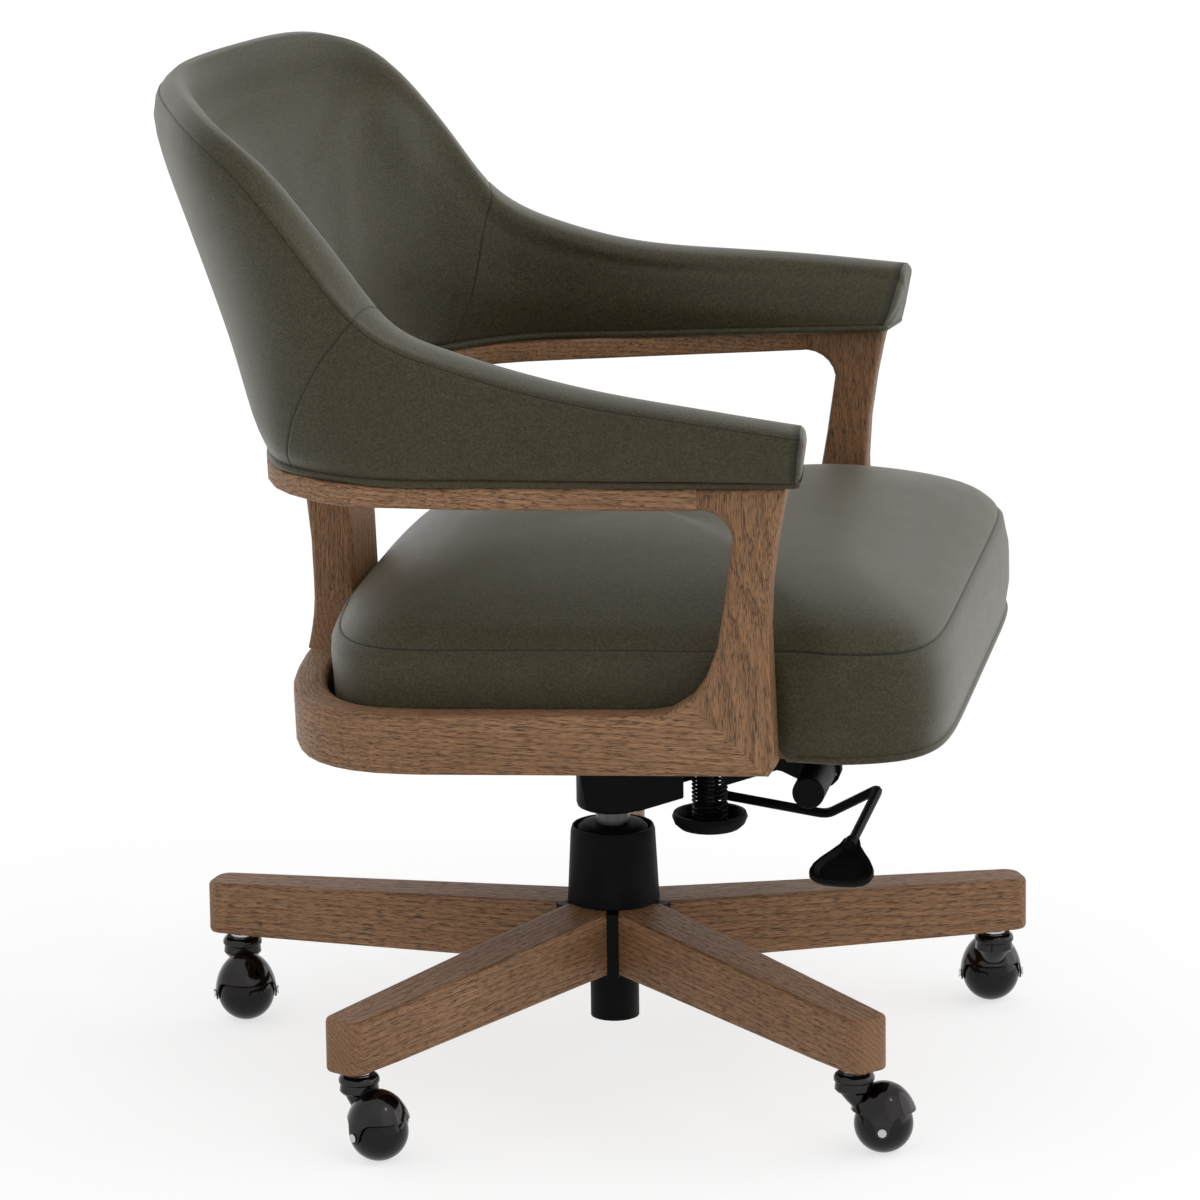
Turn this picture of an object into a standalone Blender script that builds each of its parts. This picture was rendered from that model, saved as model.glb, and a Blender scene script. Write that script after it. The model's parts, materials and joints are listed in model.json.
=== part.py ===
"""Desk chair: barrel back and arms in leather over an oak frame, crowned seat, five-spoke oak base.

Metres, +Z up. The sitter faces -Y and their right hand is at -X. Everything is drawn from the
column's axis on the floor, then moved so that the chair's bounding box stands centred on the
origin. The seat frame is drawn level and then raked back about RAKE_CENTRE.
"""
import math

import bmesh
import bpy
from mathutils import Matrix, Vector

# Fits
TOUCH = 0.0003
RUN = 0.0004

# Casters
CASTER_HEIGHT = 0.0703
CASTER_YAWS = (60.0, 198.0, 231.0, -85.0, 13.0)
BALL_RADIUS = 0.0235
CASTER_TRAIL = 0.023
HOOD_GAP = 0.0008
HOOD_WALL = 0.0013
HOOD_RISE = 1.33
HOOD_STRETCH = 1.07
HOOD_TAB_RADIUS = 0.0055
HOOD_TAB_HALF = 0.0075
HOOD_TAB_TOP = 0.0060
HOOD_RIM = 0.0120
HOOD_NECK = ((0.0000, 0.0520, 0.0130), (0.0025, 0.0460, 0.0120), (0.0080, 0.0380, 0.0105))
AXLE_RADIUS = 0.0018
RIVET_RADIUS = 0.0036
RIVET_THICKNESS = 0.0010
STEM_RADIUS = 0.0055
STEM_LENGTH = 0.034
STEM_NECK_RADIUS = 0.0068
STEM_FLANGE_RADIUS = 0.0100
STEM_FLANGE_HEIGHT = 0.0680
STEM_FLANGE_THICKNESS = 0.0020
CUP_RADIUS = 0.0162
CUP_HEIGHT = 0.0155

# Oak base
SPOKES = 5
SPOKE_AIM = 8.2
SPOKE_REACH = 0.355
CASTER_INSET = 0.025
CASTER_RADIUS = SPOKE_REACH - CASTER_INSET
SPOKE_TIP_WIDTH = 0.036
SPOKE_TIP_DEPTH = 0.0437
SPOKE_TIP_CORNER = 0.011
SPOKE_PAD_LENGTH = 0.050
SPOKE_HUB_WIDTH = 0.048
SPOKE_HUB_TOP = 0.1270
SPOKE_HUB_BOTTOM = 0.0750
SPOKE_EDGE = 0.003
SPOKE_SHOULDER = 0.0413
SPOKE_NOSE = 0.0330
SPOKE_NOSE_HALF = 0.0175

# Gas lift
TUBE_RADIUS = 0.020
TUBE_WALL = 0.0022
TUBE_BOTTOM = 0.028
TUBE_TOP = 0.180
TUBE_LIP = 0.003
LIP_BORE = 0.0065
COVER_TOP = 0.190
COVER_TOP_RADIUS = 0.0345
COVER_BOTTOM_RADIUS = 0.0378
COVER_WALL = 0.0025
BUSH_TOP = 0.1925
BUSH_RADIUS = 0.0290
BUSH_BOTTOM = 0.150
CYLINDER_RADIUS = 0.014
CYLINDER_BOTTOM = 0.060
CYLINDER_TOP = 0.2455
ROD_RADIUS = 0.005
ROD_TOP = 0.146
ROD_SHOULDER_RADIUS = 0.009
ROD_SHOULDER_THICKNESS = 0.003
THRUST_RADIUS = 0.015
THRUST_HEIGHT = 0.006
BUTTON_RADIUS = 0.004
BUTTON_LENGTH = 0.016
BUTTON_STAND = 0.0042

# Tilt control
PIVOT_Y = -0.1768
PIVOT_Z = 0.2536
CROSS_TUBE_RADIUS = 0.013
CROSS_TUBE_HALF = 0.110
LUG_RADIUS = 0.0165
BOSS_RADIUS = 0.0297
BOSS_BOTTOM = 0.2055
BOSS_TOP = CYLINDER_TOP + 0.0005
CHEEK_HALF = 0.030
CHEEK_WALL = 0.0035
CHEEK_BELOW = ((0.0200, 0.2300), (0.0160, 0.2100), (-0.0270, 0.2105), (-0.1400, 0.2490), (-0.1560, 0.2460))
CHEEK_ABOVE = ((-0.1450, 0.2800), (-0.1000, 0.2890), (-0.0500, 0.2880), (0.0000, 0.2700), (0.0240, 0.2600))
ARM_BRIDGE_LENGTH = 0.015
BOLT_Y = -0.0803
BOLT_RADIUS = 0.004
BOLT_BOTTOM = 0.1870
ANCHOR_Z = 0.2795
ANCHOR_RADIUS = 0.004
EYE_RADIUS = 0.0085
EYE_HALF = 0.0045

# Tension spring, wound round the bolt
SPRING_OUTER = 0.0152
SPRING_WIRE = 0.0026
SPRING_TURNS = 19
POINTS_PER_TURN = 8
SPRING_SEAT = 0.2620

# Tension knob
KNOB_RADIUS = 0.0310
KNOB_TOP = 0.2035
KNOB_BOTTOM = 0.1895
KNOB_FLOOR = 0.0030
KNOB_WALL = 0.0040
KNOB_FOOT_RADIUS = 0.0195

# Height lever
LEVER_PIN_Y = -0.040
LEVER_PIN_Z = CYLINDER_TOP + 0.0020
LEVER_PIN_RADIUS = 0.0025
LEVER_WIRE_RADIUS = 0.0040
LEVER_WIRE_X = 0.0205
ROCKER_FRONT = -0.0500
ROCKER_STEP = -0.0310
ROCKER_BACK = 0.0060
ROCKER_BOTTOM = CYLINDER_TOP - 0.0070
ROCKER_TOP = CYLINDER_TOP + 0.0110
ROCKER_HALF = 0.0055
ROCKER_SIDE = 0.0260
WIRE_PLUG = 0.0055
WIRE_Z = CYLINDER_TOP - 0.0018
LOW_BEND = (0.000, -0.1765, 0.2051)
CORNER = (-0.030, -0.2230, 0.2367)
PADDLE_APEX = (-0.130, -0.2150, 0.2216)
PADDLE_LENGTH = 0.058
PADDLE_HALF_WIDTH = 0.0262
PADDLE_THICKNESS = 0.0065
PADDLE_DISH = 0.0035
PADDLE_DROOP = 12.0

# The paddle's edge: shares of its length and of its half width
PADDLE_EDGE = (
    (0.000, 0.24), (0.140, 0.33), (0.300, 0.54), (0.460, 0.77), (0.620, 0.94),
    (0.760, 1.00), (0.880, 0.93), (0.955, 0.76), (0.990, 0.50), (1.000, 0.20),
)

# Seat frame, level before the rake
RAKE = 2.0
RAKE_CENTRE = (0.0, 0.0, 0.310)
RAIL_BOTTOM = 0.3125
RAIL_TOP = 0.3598
RAIL_HALF = 0.290
RAIL_SHOULDER = 0.060
RAIL_REAR = 0.232
RAIL_POWER = 3.5
RAIL_WIDTH = 0.0265
RAIL_EDGE = 0.0042
RAIL_FLARE = 0.022
SEAT_PLATE_TOP = 0.3157
SEAT_PLATE_THICKNESS = 0.003
SEAT_PLATE_HALF = 0.095
SEAT_PLATE_FRONT = -0.215
SEAT_PLATE_BACK = 0.045
FLANGE_INNER = 0.0335
FLANGE_WALL = 0.003
YOKE_HALF = 0.012
YOKE_WALL = 0.003
YOKE_REACH = 0.0165
BOARD_THICKNESS = 0.012
BOARD_FRONT_INSET = 0.014
BOARD_SIDE_INSET = 0.008
POST_FRONT = -0.1775
POST_TOP_FRONT = -0.1970
POST_WIDTH = 0.0430
POST_THICKNESS = 0.0285
POST_LEAN = 0.0075
POST_FILLET = 0.026
MITRE_FOOT = 0.0055
MITRE_HEAD = (0.0400, 0.3728)
ARM_RAIL_BOTTOM = 0.5250
ARM_RAIL_TOP = 0.5415
ARM_RAIL_EDGE = 0.002
JOINT_Y = 0.100
BACK_POST_HALF = 0.047
BACK_POST_FRONT = 0.1975
BACK_POST_DEPTH = 0.034
BACK_POST_LEAN = 0.0055
BACK_POST_FOOT_HEIGHT = 0.045
BACK_POST_FOOT_SPREAD = 0.034
BACK_POST_HEAD_FILLET = 0.024
BACK_POST_EDGE = 0.004

# The arm rail in plan, as stations from the front end to the middle of the back:
# outer x, y, then inner x, y
ARM_RAIL_STATIONS = (
    (0.3025, -0.1285, 0.2740, -0.1285),
    (0.2995, -0.0400, 0.2615, -0.0400),
    (0.2955, 0.0400, 0.2495, 0.0400),
    (0.2895, 0.1000, 0.2395, 0.1000),
    (0.2790, 0.1540, 0.2270, 0.1380),
    (0.2540, 0.1880, 0.2060, 0.1640),
    (0.2180, 0.2190, 0.1770, 0.1860),
    (0.1600, 0.2370, 0.1300, 0.1990),
    (0.0800, 0.2445, 0.0650, 0.2055),
    (0.0000, 0.2465, 0.0000, 0.2070),
)
ARM_RAIL_JOINT_STATION = 3

# Seat cushion
SOFT_GAP = 0.0006
CUSHION_FRONT = -0.302
CUSHION_REAR_POWER = 3.8
CUSHION_BOTTOM = 0.3163
CUSHION_SEAM = 0.4040
CUSHION_CROWN = 0.056
CUSHION_FALL = 3.2
CUSHION_FRONT_FALL = 2.7
CUSHION_ROUNDING = 0.85
CUSHION_FRONT_ROUNDING = 0.64
CUSHION_FRONT_SWELL = 0.0090
CUSHION_SIDE_SWELL = 0.0035
FRONT_CORNER_POWER = 8.0
CUSHION_POINTS = 44

# Back and arms, as stations from the front of an arm to the middle of the back:
# outer foot x, y, then outer top seam x, y, z
BARREL_STATIONS = (
    (0.3065, -0.2045, 0.3280, -0.2125, 0.5850),
    (0.3040, -0.1200, 0.3170, -0.1210, 0.5970),
    (0.3005, -0.0400, 0.3010, -0.0450, 0.6060),
    (0.2965, 0.0400, 0.2860, 0.0150, 0.6165),
    (0.2860, 0.1290, 0.2815, 0.0800, 0.6365),
    (0.2420, 0.2000, 0.2835, 0.1370, 0.6695),
    (0.2140, 0.2200, 0.2790, 0.1780, 0.7215),
    (0.1800, 0.2320, 0.2640, 0.2220, 0.7660),
    (0.1300, 0.2400, 0.2260, 0.2665, 0.7865),
    (0.0680, 0.2440, 0.1320, 0.3125, 0.7940),
    (0.0000, 0.2450, 0.0000, 0.3440, 0.7960),
)
SEAM_STATION = 5
PAD_FOOT = ARM_RAIL_TOP + TOUCH
PAD_FOOT_WIDTH = 0.046
PAD_ARM_WIDTH = 0.040
PAD_SEAM_WIDTH = 0.050
PAD_TOP_WIDTH = 0.034
PAD_DOME = 0.006
BACK_DOME = 0.029
PAD_SWELL = 0.005
BACK_SWELL = 0.0095
PAD_SWELL_SHARES = (0.80, 1.00, 1.00, 0.55)
BACK_SWELL_SHARES = (0.72, 0.85, 0.85, 0.65)
CROWN_SHARES = (0.66, 1.00, 0.60, -0.25)
PAD_SEAM_SKEW = 0.24
PAD_SEAM_BOW = 0.014
PAD_FRONT_SKEW = 0.19
PAD_END_ROUNDING = 0.005
WELT_RADIUS = 0.0030
ARM_SECTIONS = 10
BACK_SECTIONS = 21


def clear_scene():
    for old in list(bpy.data.objects):
        bpy.data.objects.remove(old, do_unlink=True)


def principled(name, colour, roughness, metallic=0.0):
    material = bpy.data.materials.new(name)
    material.use_nodes = True
    shader = material.node_tree.nodes["Principled BSDF"]
    shader.inputs["Base Color"].default_value = (*colour, 1.0)
    shader.inputs["Roughness"].default_value = roughness
    shader.inputs["Metallic"].default_value = metallic
    material.diffuse_color = (*colour, 1.0)
    return material


def empty(name, location, parent=None, rotation=None):
    holder = bpy.data.objects.new(name, None)
    bpy.context.scene.collection.objects.link(holder)
    holder.parent = parent
    holder.location = location
    if rotation is not None:
        holder.rotation_euler = rotation
    return holder


def place(name, data, material, parent=None):
    """Link a mesh or curve under its own name with its own material."""
    item = bpy.data.objects.new(name, data)
    bpy.context.scene.collection.objects.link(item)
    own = material.copy()
    own.name = name + "_finish"
    if data.materials:
        item.material_slots[0].link = "OBJECT"
        item.material_slots[0].material = own
    else:
        data.materials.append(own)
    item.parent = parent
    return item


def mesh_of(bm, name, sharp=35.0):
    bmesh.ops.recalc_face_normals(bm, faces=bm.faces)
    mesh = bpy.data.meshes.new(name)
    bm.to_mesh(mesh)
    bm.free()
    mesh.shade_smooth()
    mesh.set_sharp_from_angle(angle=math.radians(sharp))
    return mesh


def bevel(item, width, segments=2, angle=40.0):
    step = item.modifiers.new("Rounded edges", "BEVEL")
    step.width = width
    step.segments = segments
    if "bevel_weight_edge" in item.data.attributes:
        step.limit_method = "WEIGHT"
    else:
        step.limit_method = "ANGLE"
        step.angle_limit = math.radians(angle)
    return step


def square_joints(bm, angle, is_joint):
    """Marks the sharp edges for rounding, except round the faces that butt against another piece."""
    bmesh.ops.recalc_face_normals(bm, faces=bm.faces)
    weights = bm.edges.layers.float.new("bevel_weight_edge")
    for edge in bm.edges:
        butts = any(is_joint(face.calc_center_median(), face.normal) for face in edge.link_faces)
        if not butts and edge.calc_face_angle(0.0) > math.radians(angle):
            edge[weights] = 1.0
    return bm


def boolean(item, other, operation):
    step = item.modifiers.new(operation.title(), "BOOLEAN")
    step.operation = operation
    step.object = other
    step.solver = "EXACT"
    return step


def cutter(name, mesh, parent=None):
    guide = bpy.data.objects.new(name, mesh)
    bpy.context.scene.collection.objects.link(guide)
    guide.hide_render = True
    guide.display_type = "WIRE"
    guide.parent = parent
    return guide


def turned(profile, segments):
    """A closed profile of (radius, height) points spun round Z; points on the axis become poles."""
    bm = bmesh.new()
    rings = []
    for radius, height in profile:
        if radius < 1e-6:
            rings.append([bm.verts.new((0.0, 0.0, height))] * segments)
            continue
        ring = []
        for step in range(segments):
            turn = math.tau * step / segments
            ring.append(bm.verts.new((radius * math.cos(turn), radius * math.sin(turn), height)))
        rings.append(ring)
    for lower, upper in zip(rings, rings[1:] + rings[:1]):
        for step in range(segments):
            after = (step + 1) % segments
            corners = [lower[step], lower[after], upper[after], upper[step]]
            unique = list(dict.fromkeys(corners))
            if len(unique) > 2:
                bm.faces.new(unique)
    return bm


def prism(outline, low, high, axis="Z"):
    """An outline extruded along Z, or an outline of (y, z) points extruded along X."""
    bm = bmesh.new()
    if axis == "Z":
        corners = [bm.verts.new((a, b, low)) for a, b in outline]
        shift = Vector((0.0, 0.0, high - low))
    else:
        corners = [bm.verts.new((low, a, b)) for a, b in outline]
        shift = Vector((high - low, 0.0, 0.0))
    face = bm.faces.new(corners)
    grown = bmesh.ops.extrude_face_region(bm, geom=[face])
    moved = [part for part in grown["geom"] if isinstance(part, bmesh.types.BMVert)]
    bmesh.ops.translate(bm, verts=moved, vec=shift)
    return bm


def box(low, high):
    return prism(((low[0], low[1]), (high[0], low[1]), (high[0], high[1]), (low[0], high[1])), low[2], high[2])


def ladder_cap(bm, ring):
    """Closes a folded ring with triangles between its two sides, so twisted ends still match."""
    low = 0
    high = len(ring) - 1
    while high - low > 1:
        bm.faces.new((ring[low], ring[low + 1], ring[high]))
        low += 1
        if high - low > 1:
            bm.faces.new((ring[low], ring[high - 1], ring[high]))
            high -= 1


def loft(rings, ladder=False):
    """Closed rings of points, bridged one to the next, with both ends closed."""
    bm = bmesh.new()
    rows = [[bm.verts.new(point) for point in ring] for ring in rings]
    for lower, upper in zip(rows, rows[1:]):
        count = len(lower)
        for step in range(count):
            after = (step + 1) % count
            bm.faces.new((lower[step], lower[after], upper[after], upper[step]))
    for end in (rows[0], rows[-1]):
        if ladder:
            ladder_cap(bm, end)
        else:
            bm.faces.new(end)
    return bm


def arc(centre, radius, start, end, steps):
    """Points on an arc in a plane, angles in degrees, both ends included."""
    points = []
    for step in range(steps + 1):
        turn = math.radians(start + (end - start) * step / steps)
        points.append((centre[0] + radius * math.cos(turn), centre[1] + radius * math.sin(turn)))
    return points


def signed_power(value, power):
    return math.copysign(abs(value) ** power, value)


def barrel_curve(half, shoulder, rear, power, steps):
    """Half of a squared ellipse round the back, from the right shoulder to the left one."""
    points = []
    for step in range(steps + 1):
        turn = math.pi * step / steps
        x = -half * signed_power(math.cos(turn), 2.0 / power)
        y = shoulder + (rear - shoulder) * signed_power(math.sin(turn), 2.0 / power)
        points.append((x, y))
    return points


def inset(points, distance):
    """An open plan curve moved towards its hollow side."""
    moved = []
    for index, (x, y) in enumerate(points):
        before = points[max(index - 1, 0)]
        after = points[min(index + 1, len(points) - 1)]
        run = Vector((after[0] - before[0], after[1] - before[1])).normalized()
        moved.append((x + run.y * distance, y - run.x * distance))
    return moved


def resampled(points, count):
    """A closed plan curve with its points spread evenly."""
    loop = [Vector(point) for point in points] + [Vector(points[0])]
    lengths = [0.0]
    for before, after in zip(loop, loop[1:]):
        lengths.append(lengths[-1] + (after - before).length)
    spread = []
    segment = 0
    for step in range(count):
        target = lengths[-1] * step / count
        while lengths[segment + 1] < target:
            segment += 1
        span = lengths[segment + 1] - lengths[segment]
        share = (target - lengths[segment]) / span
        point = loop[segment].lerp(loop[segment + 1], share)
        spread.append((point.x, point.y))
    return spread


def smoothstep(value):
    value = min(max(value, 0.0), 1.0)
    return value * value * (3.0 - 2.0 * value)


def spline(rows, where):
    """A smooth curve through rows of numbers, at a row index that may lie between two rows."""
    index = min(int(where), len(rows) - 2)
    share = where - index
    first = rows[max(index - 1, 0)]
    second = rows[index]
    third = rows[index + 1]
    last = rows[min(index + 2, len(rows) - 1)]
    blended = []
    for a, b, c, d in zip(first, second, third, last):
        bend = 2.0 * a - 5.0 * b + 4.0 * c - d
        twist = -a + 3.0 * b - 3.0 * c + d
        blended.append(0.5 * (2.0 * b + (c - a) * share + bend * share ** 2 + twist * share ** 3))
    return blended


def second_slopes(places, values):
    """The second slopes of the smooth curve through values at rising places, none at its two ends."""
    count = len(places)
    ratio = [0.0] * count
    slopes = [0.0] * count
    for index in range(1, count - 1):
        before = places[index] - places[index - 1]
        after = places[index + 1] - places[index]
        rise = (values[index + 1] - values[index]) / after
        fall = (values[index] - values[index - 1]) / before
        pivot = 2.0 * (before + after) - before * ratio[index - 1]
        ratio[index] = after / pivot
        slopes[index] = (6.0 * (rise - fall) - before * slopes[index - 1]) / pivot
    for index in range(count - 2, 0, -1):
        slopes[index] -= ratio[index] * slopes[index + 1]
    return slopes


def on_curve(places, values, slopes, place_at):
    """The smooth curve's value at a place."""
    index = 0
    while index < len(places) - 2 and place_at > places[index + 1]:
        index += 1
    span = places[index + 1] - places[index]
    near = (places[index + 1] - place_at) / span
    far = (place_at - places[index]) / span
    bend = (near ** 3 - near) * slopes[index] + (far ** 3 - far) * slopes[index + 1]
    return values[index] * near + values[index + 1] * far + bend * span * span / 6.0


def rounded_route(corners, radius, steps):
    """A route through corner points, with each inner corner turned into an arc-like bend."""
    route = [Vector(corners[0])]
    for before, here, after in zip(corners, corners[1:], corners[2:]):
        here = Vector(here)
        back = (Vector(before) - here).normalized()
        ahead = (Vector(after) - here).normalized()
        entry = here + back * radius
        leave = here + ahead * radius
        for step in range(steps + 1):
            share = step / steps
            low = entry.lerp(here, share)
            high = here.lerp(leave, share)
            route.append(low.lerp(high, share))
    route.append(Vector(corners[-1]))
    return route


def tube(name, route, radius, material, parent, resolution=1):
    """A round bar along a route, with closed ends."""
    curve = bpy.data.curves.new(name, "CURVE")
    curve.dimensions = "3D"
    curve.bevel_depth = radius
    curve.bevel_resolution = resolution
    curve.use_fill_caps = True
    line = curve.splines.new("POLY")
    line.points.add(len(route) - 1)
    for point, place_at in zip(line.points, route):
        point.co = (*place_at, 1.0)
    item = place(name, curve, material, parent)
    return item


OAK = principled("oak", (0.30, 0.175, 0.092), 0.55)
LEATHER = principled("leather", (0.085, 0.090, 0.062), 0.48)
BLACK_STEEL = principled("black_steel", (0.012, 0.012, 0.013), 0.45, 0.3)
BLACK_PLASTIC = principled("black_plastic", (0.014, 0.014, 0.015), 0.50)
CHROME = principled("chrome", (0.62, 0.60, 0.58), 0.18, 1.0)
DARK_CHROME = principled("dark_chrome", (0.045, 0.040, 0.040), 0.10, 1.0)
BALL_BLACK = principled("ball_black", (0.010, 0.010, 0.011), 0.18)
PLYWOOD = principled("plywood", (0.42, 0.30, 0.18), 0.70)


# Casters

def caster_stem(name, frame):
    bottom = CASTER_HEIGHT - CUP_HEIGHT - 0.006 + TOUCH
    flange = STEM_FLANGE_HEIGHT
    profile = (
        (0.0, bottom),
        (STEM_RADIUS, bottom),
        (STEM_RADIUS, flange - STEM_FLANGE_THICKNESS),
        (STEM_FLANGE_RADIUS, flange - STEM_FLANGE_THICKNESS),
        (STEM_FLANGE_RADIUS, flange),
        (STEM_NECK_RADIUS, flange),
        (STEM_NECK_RADIUS, CASTER_HEIGHT - TOUCH),
        (STEM_RADIUS, CASTER_HEIGHT - TOUCH),
        (STEM_RADIUS, CASTER_HEIGHT + STEM_LENGTH),
        (0.0, CASTER_HEIGHT + STEM_LENGTH),
    )
    return place(name, mesh_of(turned(profile, 12), name), CHROME, frame)


def axle_matrix():
    """Turns a body spun round Z so that its axis lies along Y through the ball's centre."""
    turn = Matrix.Rotation(math.radians(90.0), 4, "X")
    return Matrix.Translation((CASTER_TRAIL, 0.0, BALL_RADIUS)) @ turn


def hood_dome(radius, stretch, rise):
    """A ball over the caster's ball, longer along the floor and taller above the axle."""
    bm = bmesh.new()
    bmesh.ops.create_uvsphere(bm, u_segments=14, v_segments=10, radius=radius)
    bm.transform(Matrix.Rotation(math.radians(90.0), 4, "X"))
    for vert in bm.verts:
        vert.co.x *= stretch
        if vert.co.z > 0.0:
            vert.co.z *= rise
    bm.transform(Matrix.Translation((CASTER_TRAIL, 0.0, BALL_RADIUS)))
    return bm


def hood_mesh():
    """The caster's hood: a tall dome with a tongue down to each end of the axle, a neck and a cup."""
    outer = BALL_RADIUS + HOOD_GAP + HOOD_WALL
    item = cutter("hood_blank", mesh_of(hood_dome(outer, HOOD_STRETCH, HOOD_RISE), "hood_blank"))

    half = []
    for a, b in arc((0.0, 0.0), HOOD_TAB_RADIUS, -90.0, 0.0, 3):
        half.append((a, b))
    half += [
        (HOOD_TAB_HALF, HOOD_TAB_TOP),
        (HOOD_TAB_HALF + 0.0025, HOOD_TAB_TOP + 0.0035),
        (HOOD_TAB_HALF + 0.0070, HOOD_RIM - 0.0005),
        (HOOD_TAB_HALF + 0.0125, HOOD_RIM),
        (2.0 * outer, HOOD_RIM),
        (2.0 * outer, 2.0 * outer),
    ]
    kept = half + [(-a, b) for a, b in half[:0:-1]]
    tongues = prism([(a - CASTER_TRAIL, b + BALL_RADIUS) for a, b in kept], -outer - 0.005, outer + 0.005, "X")
    tongues.transform(Matrix.Rotation(math.radians(90.0), 4, "Z"))
    boolean(item, cutter("hood_tongues", mesh_of(tongues, "hood_tongues")), "INTERSECT")

    top = STEM_FLANGE_HEIGHT - STEM_FLANGE_THICKNESS - RUN
    cup_bottom = top - CUP_HEIGHT
    groove = CUP_RADIUS - 0.0012
    cup_profile = (
        (0.0, cup_bottom),
        (CUP_RADIUS - 0.0020, cup_bottom),
        (CUP_RADIUS - 0.0006, cup_bottom + 0.0020),
        (groove, cup_bottom + 0.0080),
        (CUP_RADIUS, cup_bottom + 0.0092),
        (CUP_RADIUS, cup_bottom + 0.0118),
        (CUP_RADIUS - 0.0030, top),
        (0.0, top),
    )
    cup = cutter("hood_cup", mesh_of(turned(cup_profile, 12), "hood_cup"))
    boolean(item, cup, "UNION")

    neck_rings = []
    for x, z, radius in HOOD_NECK:
        ring = []
        for step in range(10):
            turn = math.tau * step / 10
            ring.append(Vector((x + radius * math.cos(turn), radius * 0.95 * math.sin(turn), z)))
        neck_rings.append(ring)
    neck = cutter("hood_neck", mesh_of(loft(neck_rings), "hood_neck"))
    boolean(item, neck, "UNION")

    stretch = (outer * HOOD_STRETCH - HOOD_WALL) / (outer - HOOD_WALL)
    rise = (outer * HOOD_RISE - HOOD_WALL) / (outer - HOOD_WALL)
    hollow = hood_dome(outer - HOOD_WALL, stretch, rise)
    boolean(item, cutter("hood_hollow", mesh_of(hollow, "hood_hollow")), "DIFFERENCE")

    stem_bottom = CASTER_HEIGHT - CUP_HEIGHT - 0.006
    stem_bore = turned(((0.0, stem_bottom), (STEM_RADIUS + RUN, stem_bottom),
                        (STEM_RADIUS + RUN, top + 0.01), (0.0, top + 0.01)), 12)
    boolean(item, cutter("hood_stem_bore", mesh_of(stem_bore, "hood_stem_bore")), "DIFFERENCE")

    bore = AXLE_RADIUS + TOUCH
    axle_bore = turned(((0.0, -outer - 0.01), (bore, -outer - 0.01), (bore, outer + 0.01), (0.0, outer + 0.01)), 8)
    axle_bore.transform(axle_matrix())
    boolean(item, cutter("hood_axle_bore", mesh_of(axle_bore, "hood_axle_bore")), "DIFFERENCE")
    return applied(item, "hood")


def applied(item, name):
    """The mesh that an object's modifiers give, as a mesh of its own, and the helpers removed."""
    bpy.context.view_layer.update()
    graph = bpy.context.evaluated_depsgraph_get()
    mesh = bpy.data.meshes.new_from_object(item.evaluated_get(graph))
    mesh.name = name
    helpers = [step.object for step in item.modifiers if step.type == "BOOLEAN"]
    for helper in helpers + [item]:
        bpy.data.objects.remove(helper, do_unlink=True)
    mesh.shade_smooth()
    mesh.set_sharp_from_angle(angle=math.radians(35.0))
    return mesh


def ball_mesh():
    """A solid ball with the axle's bore, drawn to a slight ridge round its middle."""
    bore = AXLE_RADIUS + RUN
    end = math.asin(bore / BALL_RADIUS)
    profile = []
    steps = 8
    for step in range(steps + 1):
        turn = end + (math.pi - 2.0 * end) * step / steps
        profile.append((BALL_RADIUS * math.sin(turn), -BALL_RADIUS * math.cos(turn)))
    bm = turned(profile, 12)
    bm.transform(axle_matrix())
    return mesh_of(bm, "ball", 60.0)


def axle_mesh():
    outer = BALL_RADIUS + HOOD_GAP + HOOD_WALL
    head = outer + TOUCH
    profile = (
        (0.0, -head - RIVET_THICKNESS),
        (RIVET_RADIUS, -head - RIVET_THICKNESS),
        (RIVET_RADIUS, -head),
        (AXLE_RADIUS, -head),
        (AXLE_RADIUS, head),
        (RIVET_RADIUS, head),
        (RIVET_RADIUS, head + RIVET_THICKNESS),
        (0.0, head + RIVET_THICKNESS),
    )
    bm = turned(profile, 8)
    bm.transform(axle_matrix())
    return mesh_of(bm, "axle")


def shifted(mesh, offset):
    """A copy of a mesh moved so that its own origin lies on a joint's axis."""
    copy = mesh.copy()
    copy.transform(Matrix.Translation(-Vector(offset)))
    return copy


def spoke_direction(index):
    turn = math.radians(SPOKE_AIM + 360.0 / SPOKES * index)
    return Vector((math.cos(turn), math.sin(turn), 0.0))


def build_casters():
    hood = hood_mesh()
    ball = ball_mesh()
    axle = axle_mesh()
    centre = Vector((CASTER_TRAIL, 0.0, BALL_RADIUS))
    wheel = shifted(ball, centre)
    for index, yaw in enumerate(CASTER_YAWS):
        number = index + 1
        at = spoke_direction(index) * CASTER_RADIUS
        stand = empty(f"caster_{number}", at)
        caster_stem(f"caster_stem_{number}", stand)
        swivel = empty(f"caster_swivel_{number}", (0.0, 0.0, 0.0), stand, (0.0, 0.0, math.radians(yaw)))
        place(f"caster_hood_{number}", hood.copy(), DARK_CHROME, swivel)
        place(f"caster_axle_{number}", axle.copy(), CHROME, swivel)
        roller = place(f"caster_ball_{number}", wheel.copy(), BALL_BLACK, swivel)
        roller.location = centre


# Oak base

def spoke_top(x):
    """The height of a spoke's top, which falls evenly from the hub to the tip."""
    tip_top = CASTER_HEIGHT + SPOKE_TIP_DEPTH
    fall = (SPOKE_HUB_TOP - tip_top) / (SPOKE_REACH - SPOKE_SHOULDER)
    return SPOKE_HUB_TOP - fall * (x - SPOKE_SHOULDER)


def spoke_bottom(x):
    """The height of a spoke's underside, from the hub to the flat over the caster."""
    fall = (SPOKE_HUB_BOTTOM - CASTER_HEIGHT) / (SPOKE_REACH - SPOKE_PAD_LENGTH - SPOKE_SHOULDER)
    return SPOKE_HUB_BOTTOM - fall * (x - SPOKE_SHOULDER)


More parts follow.
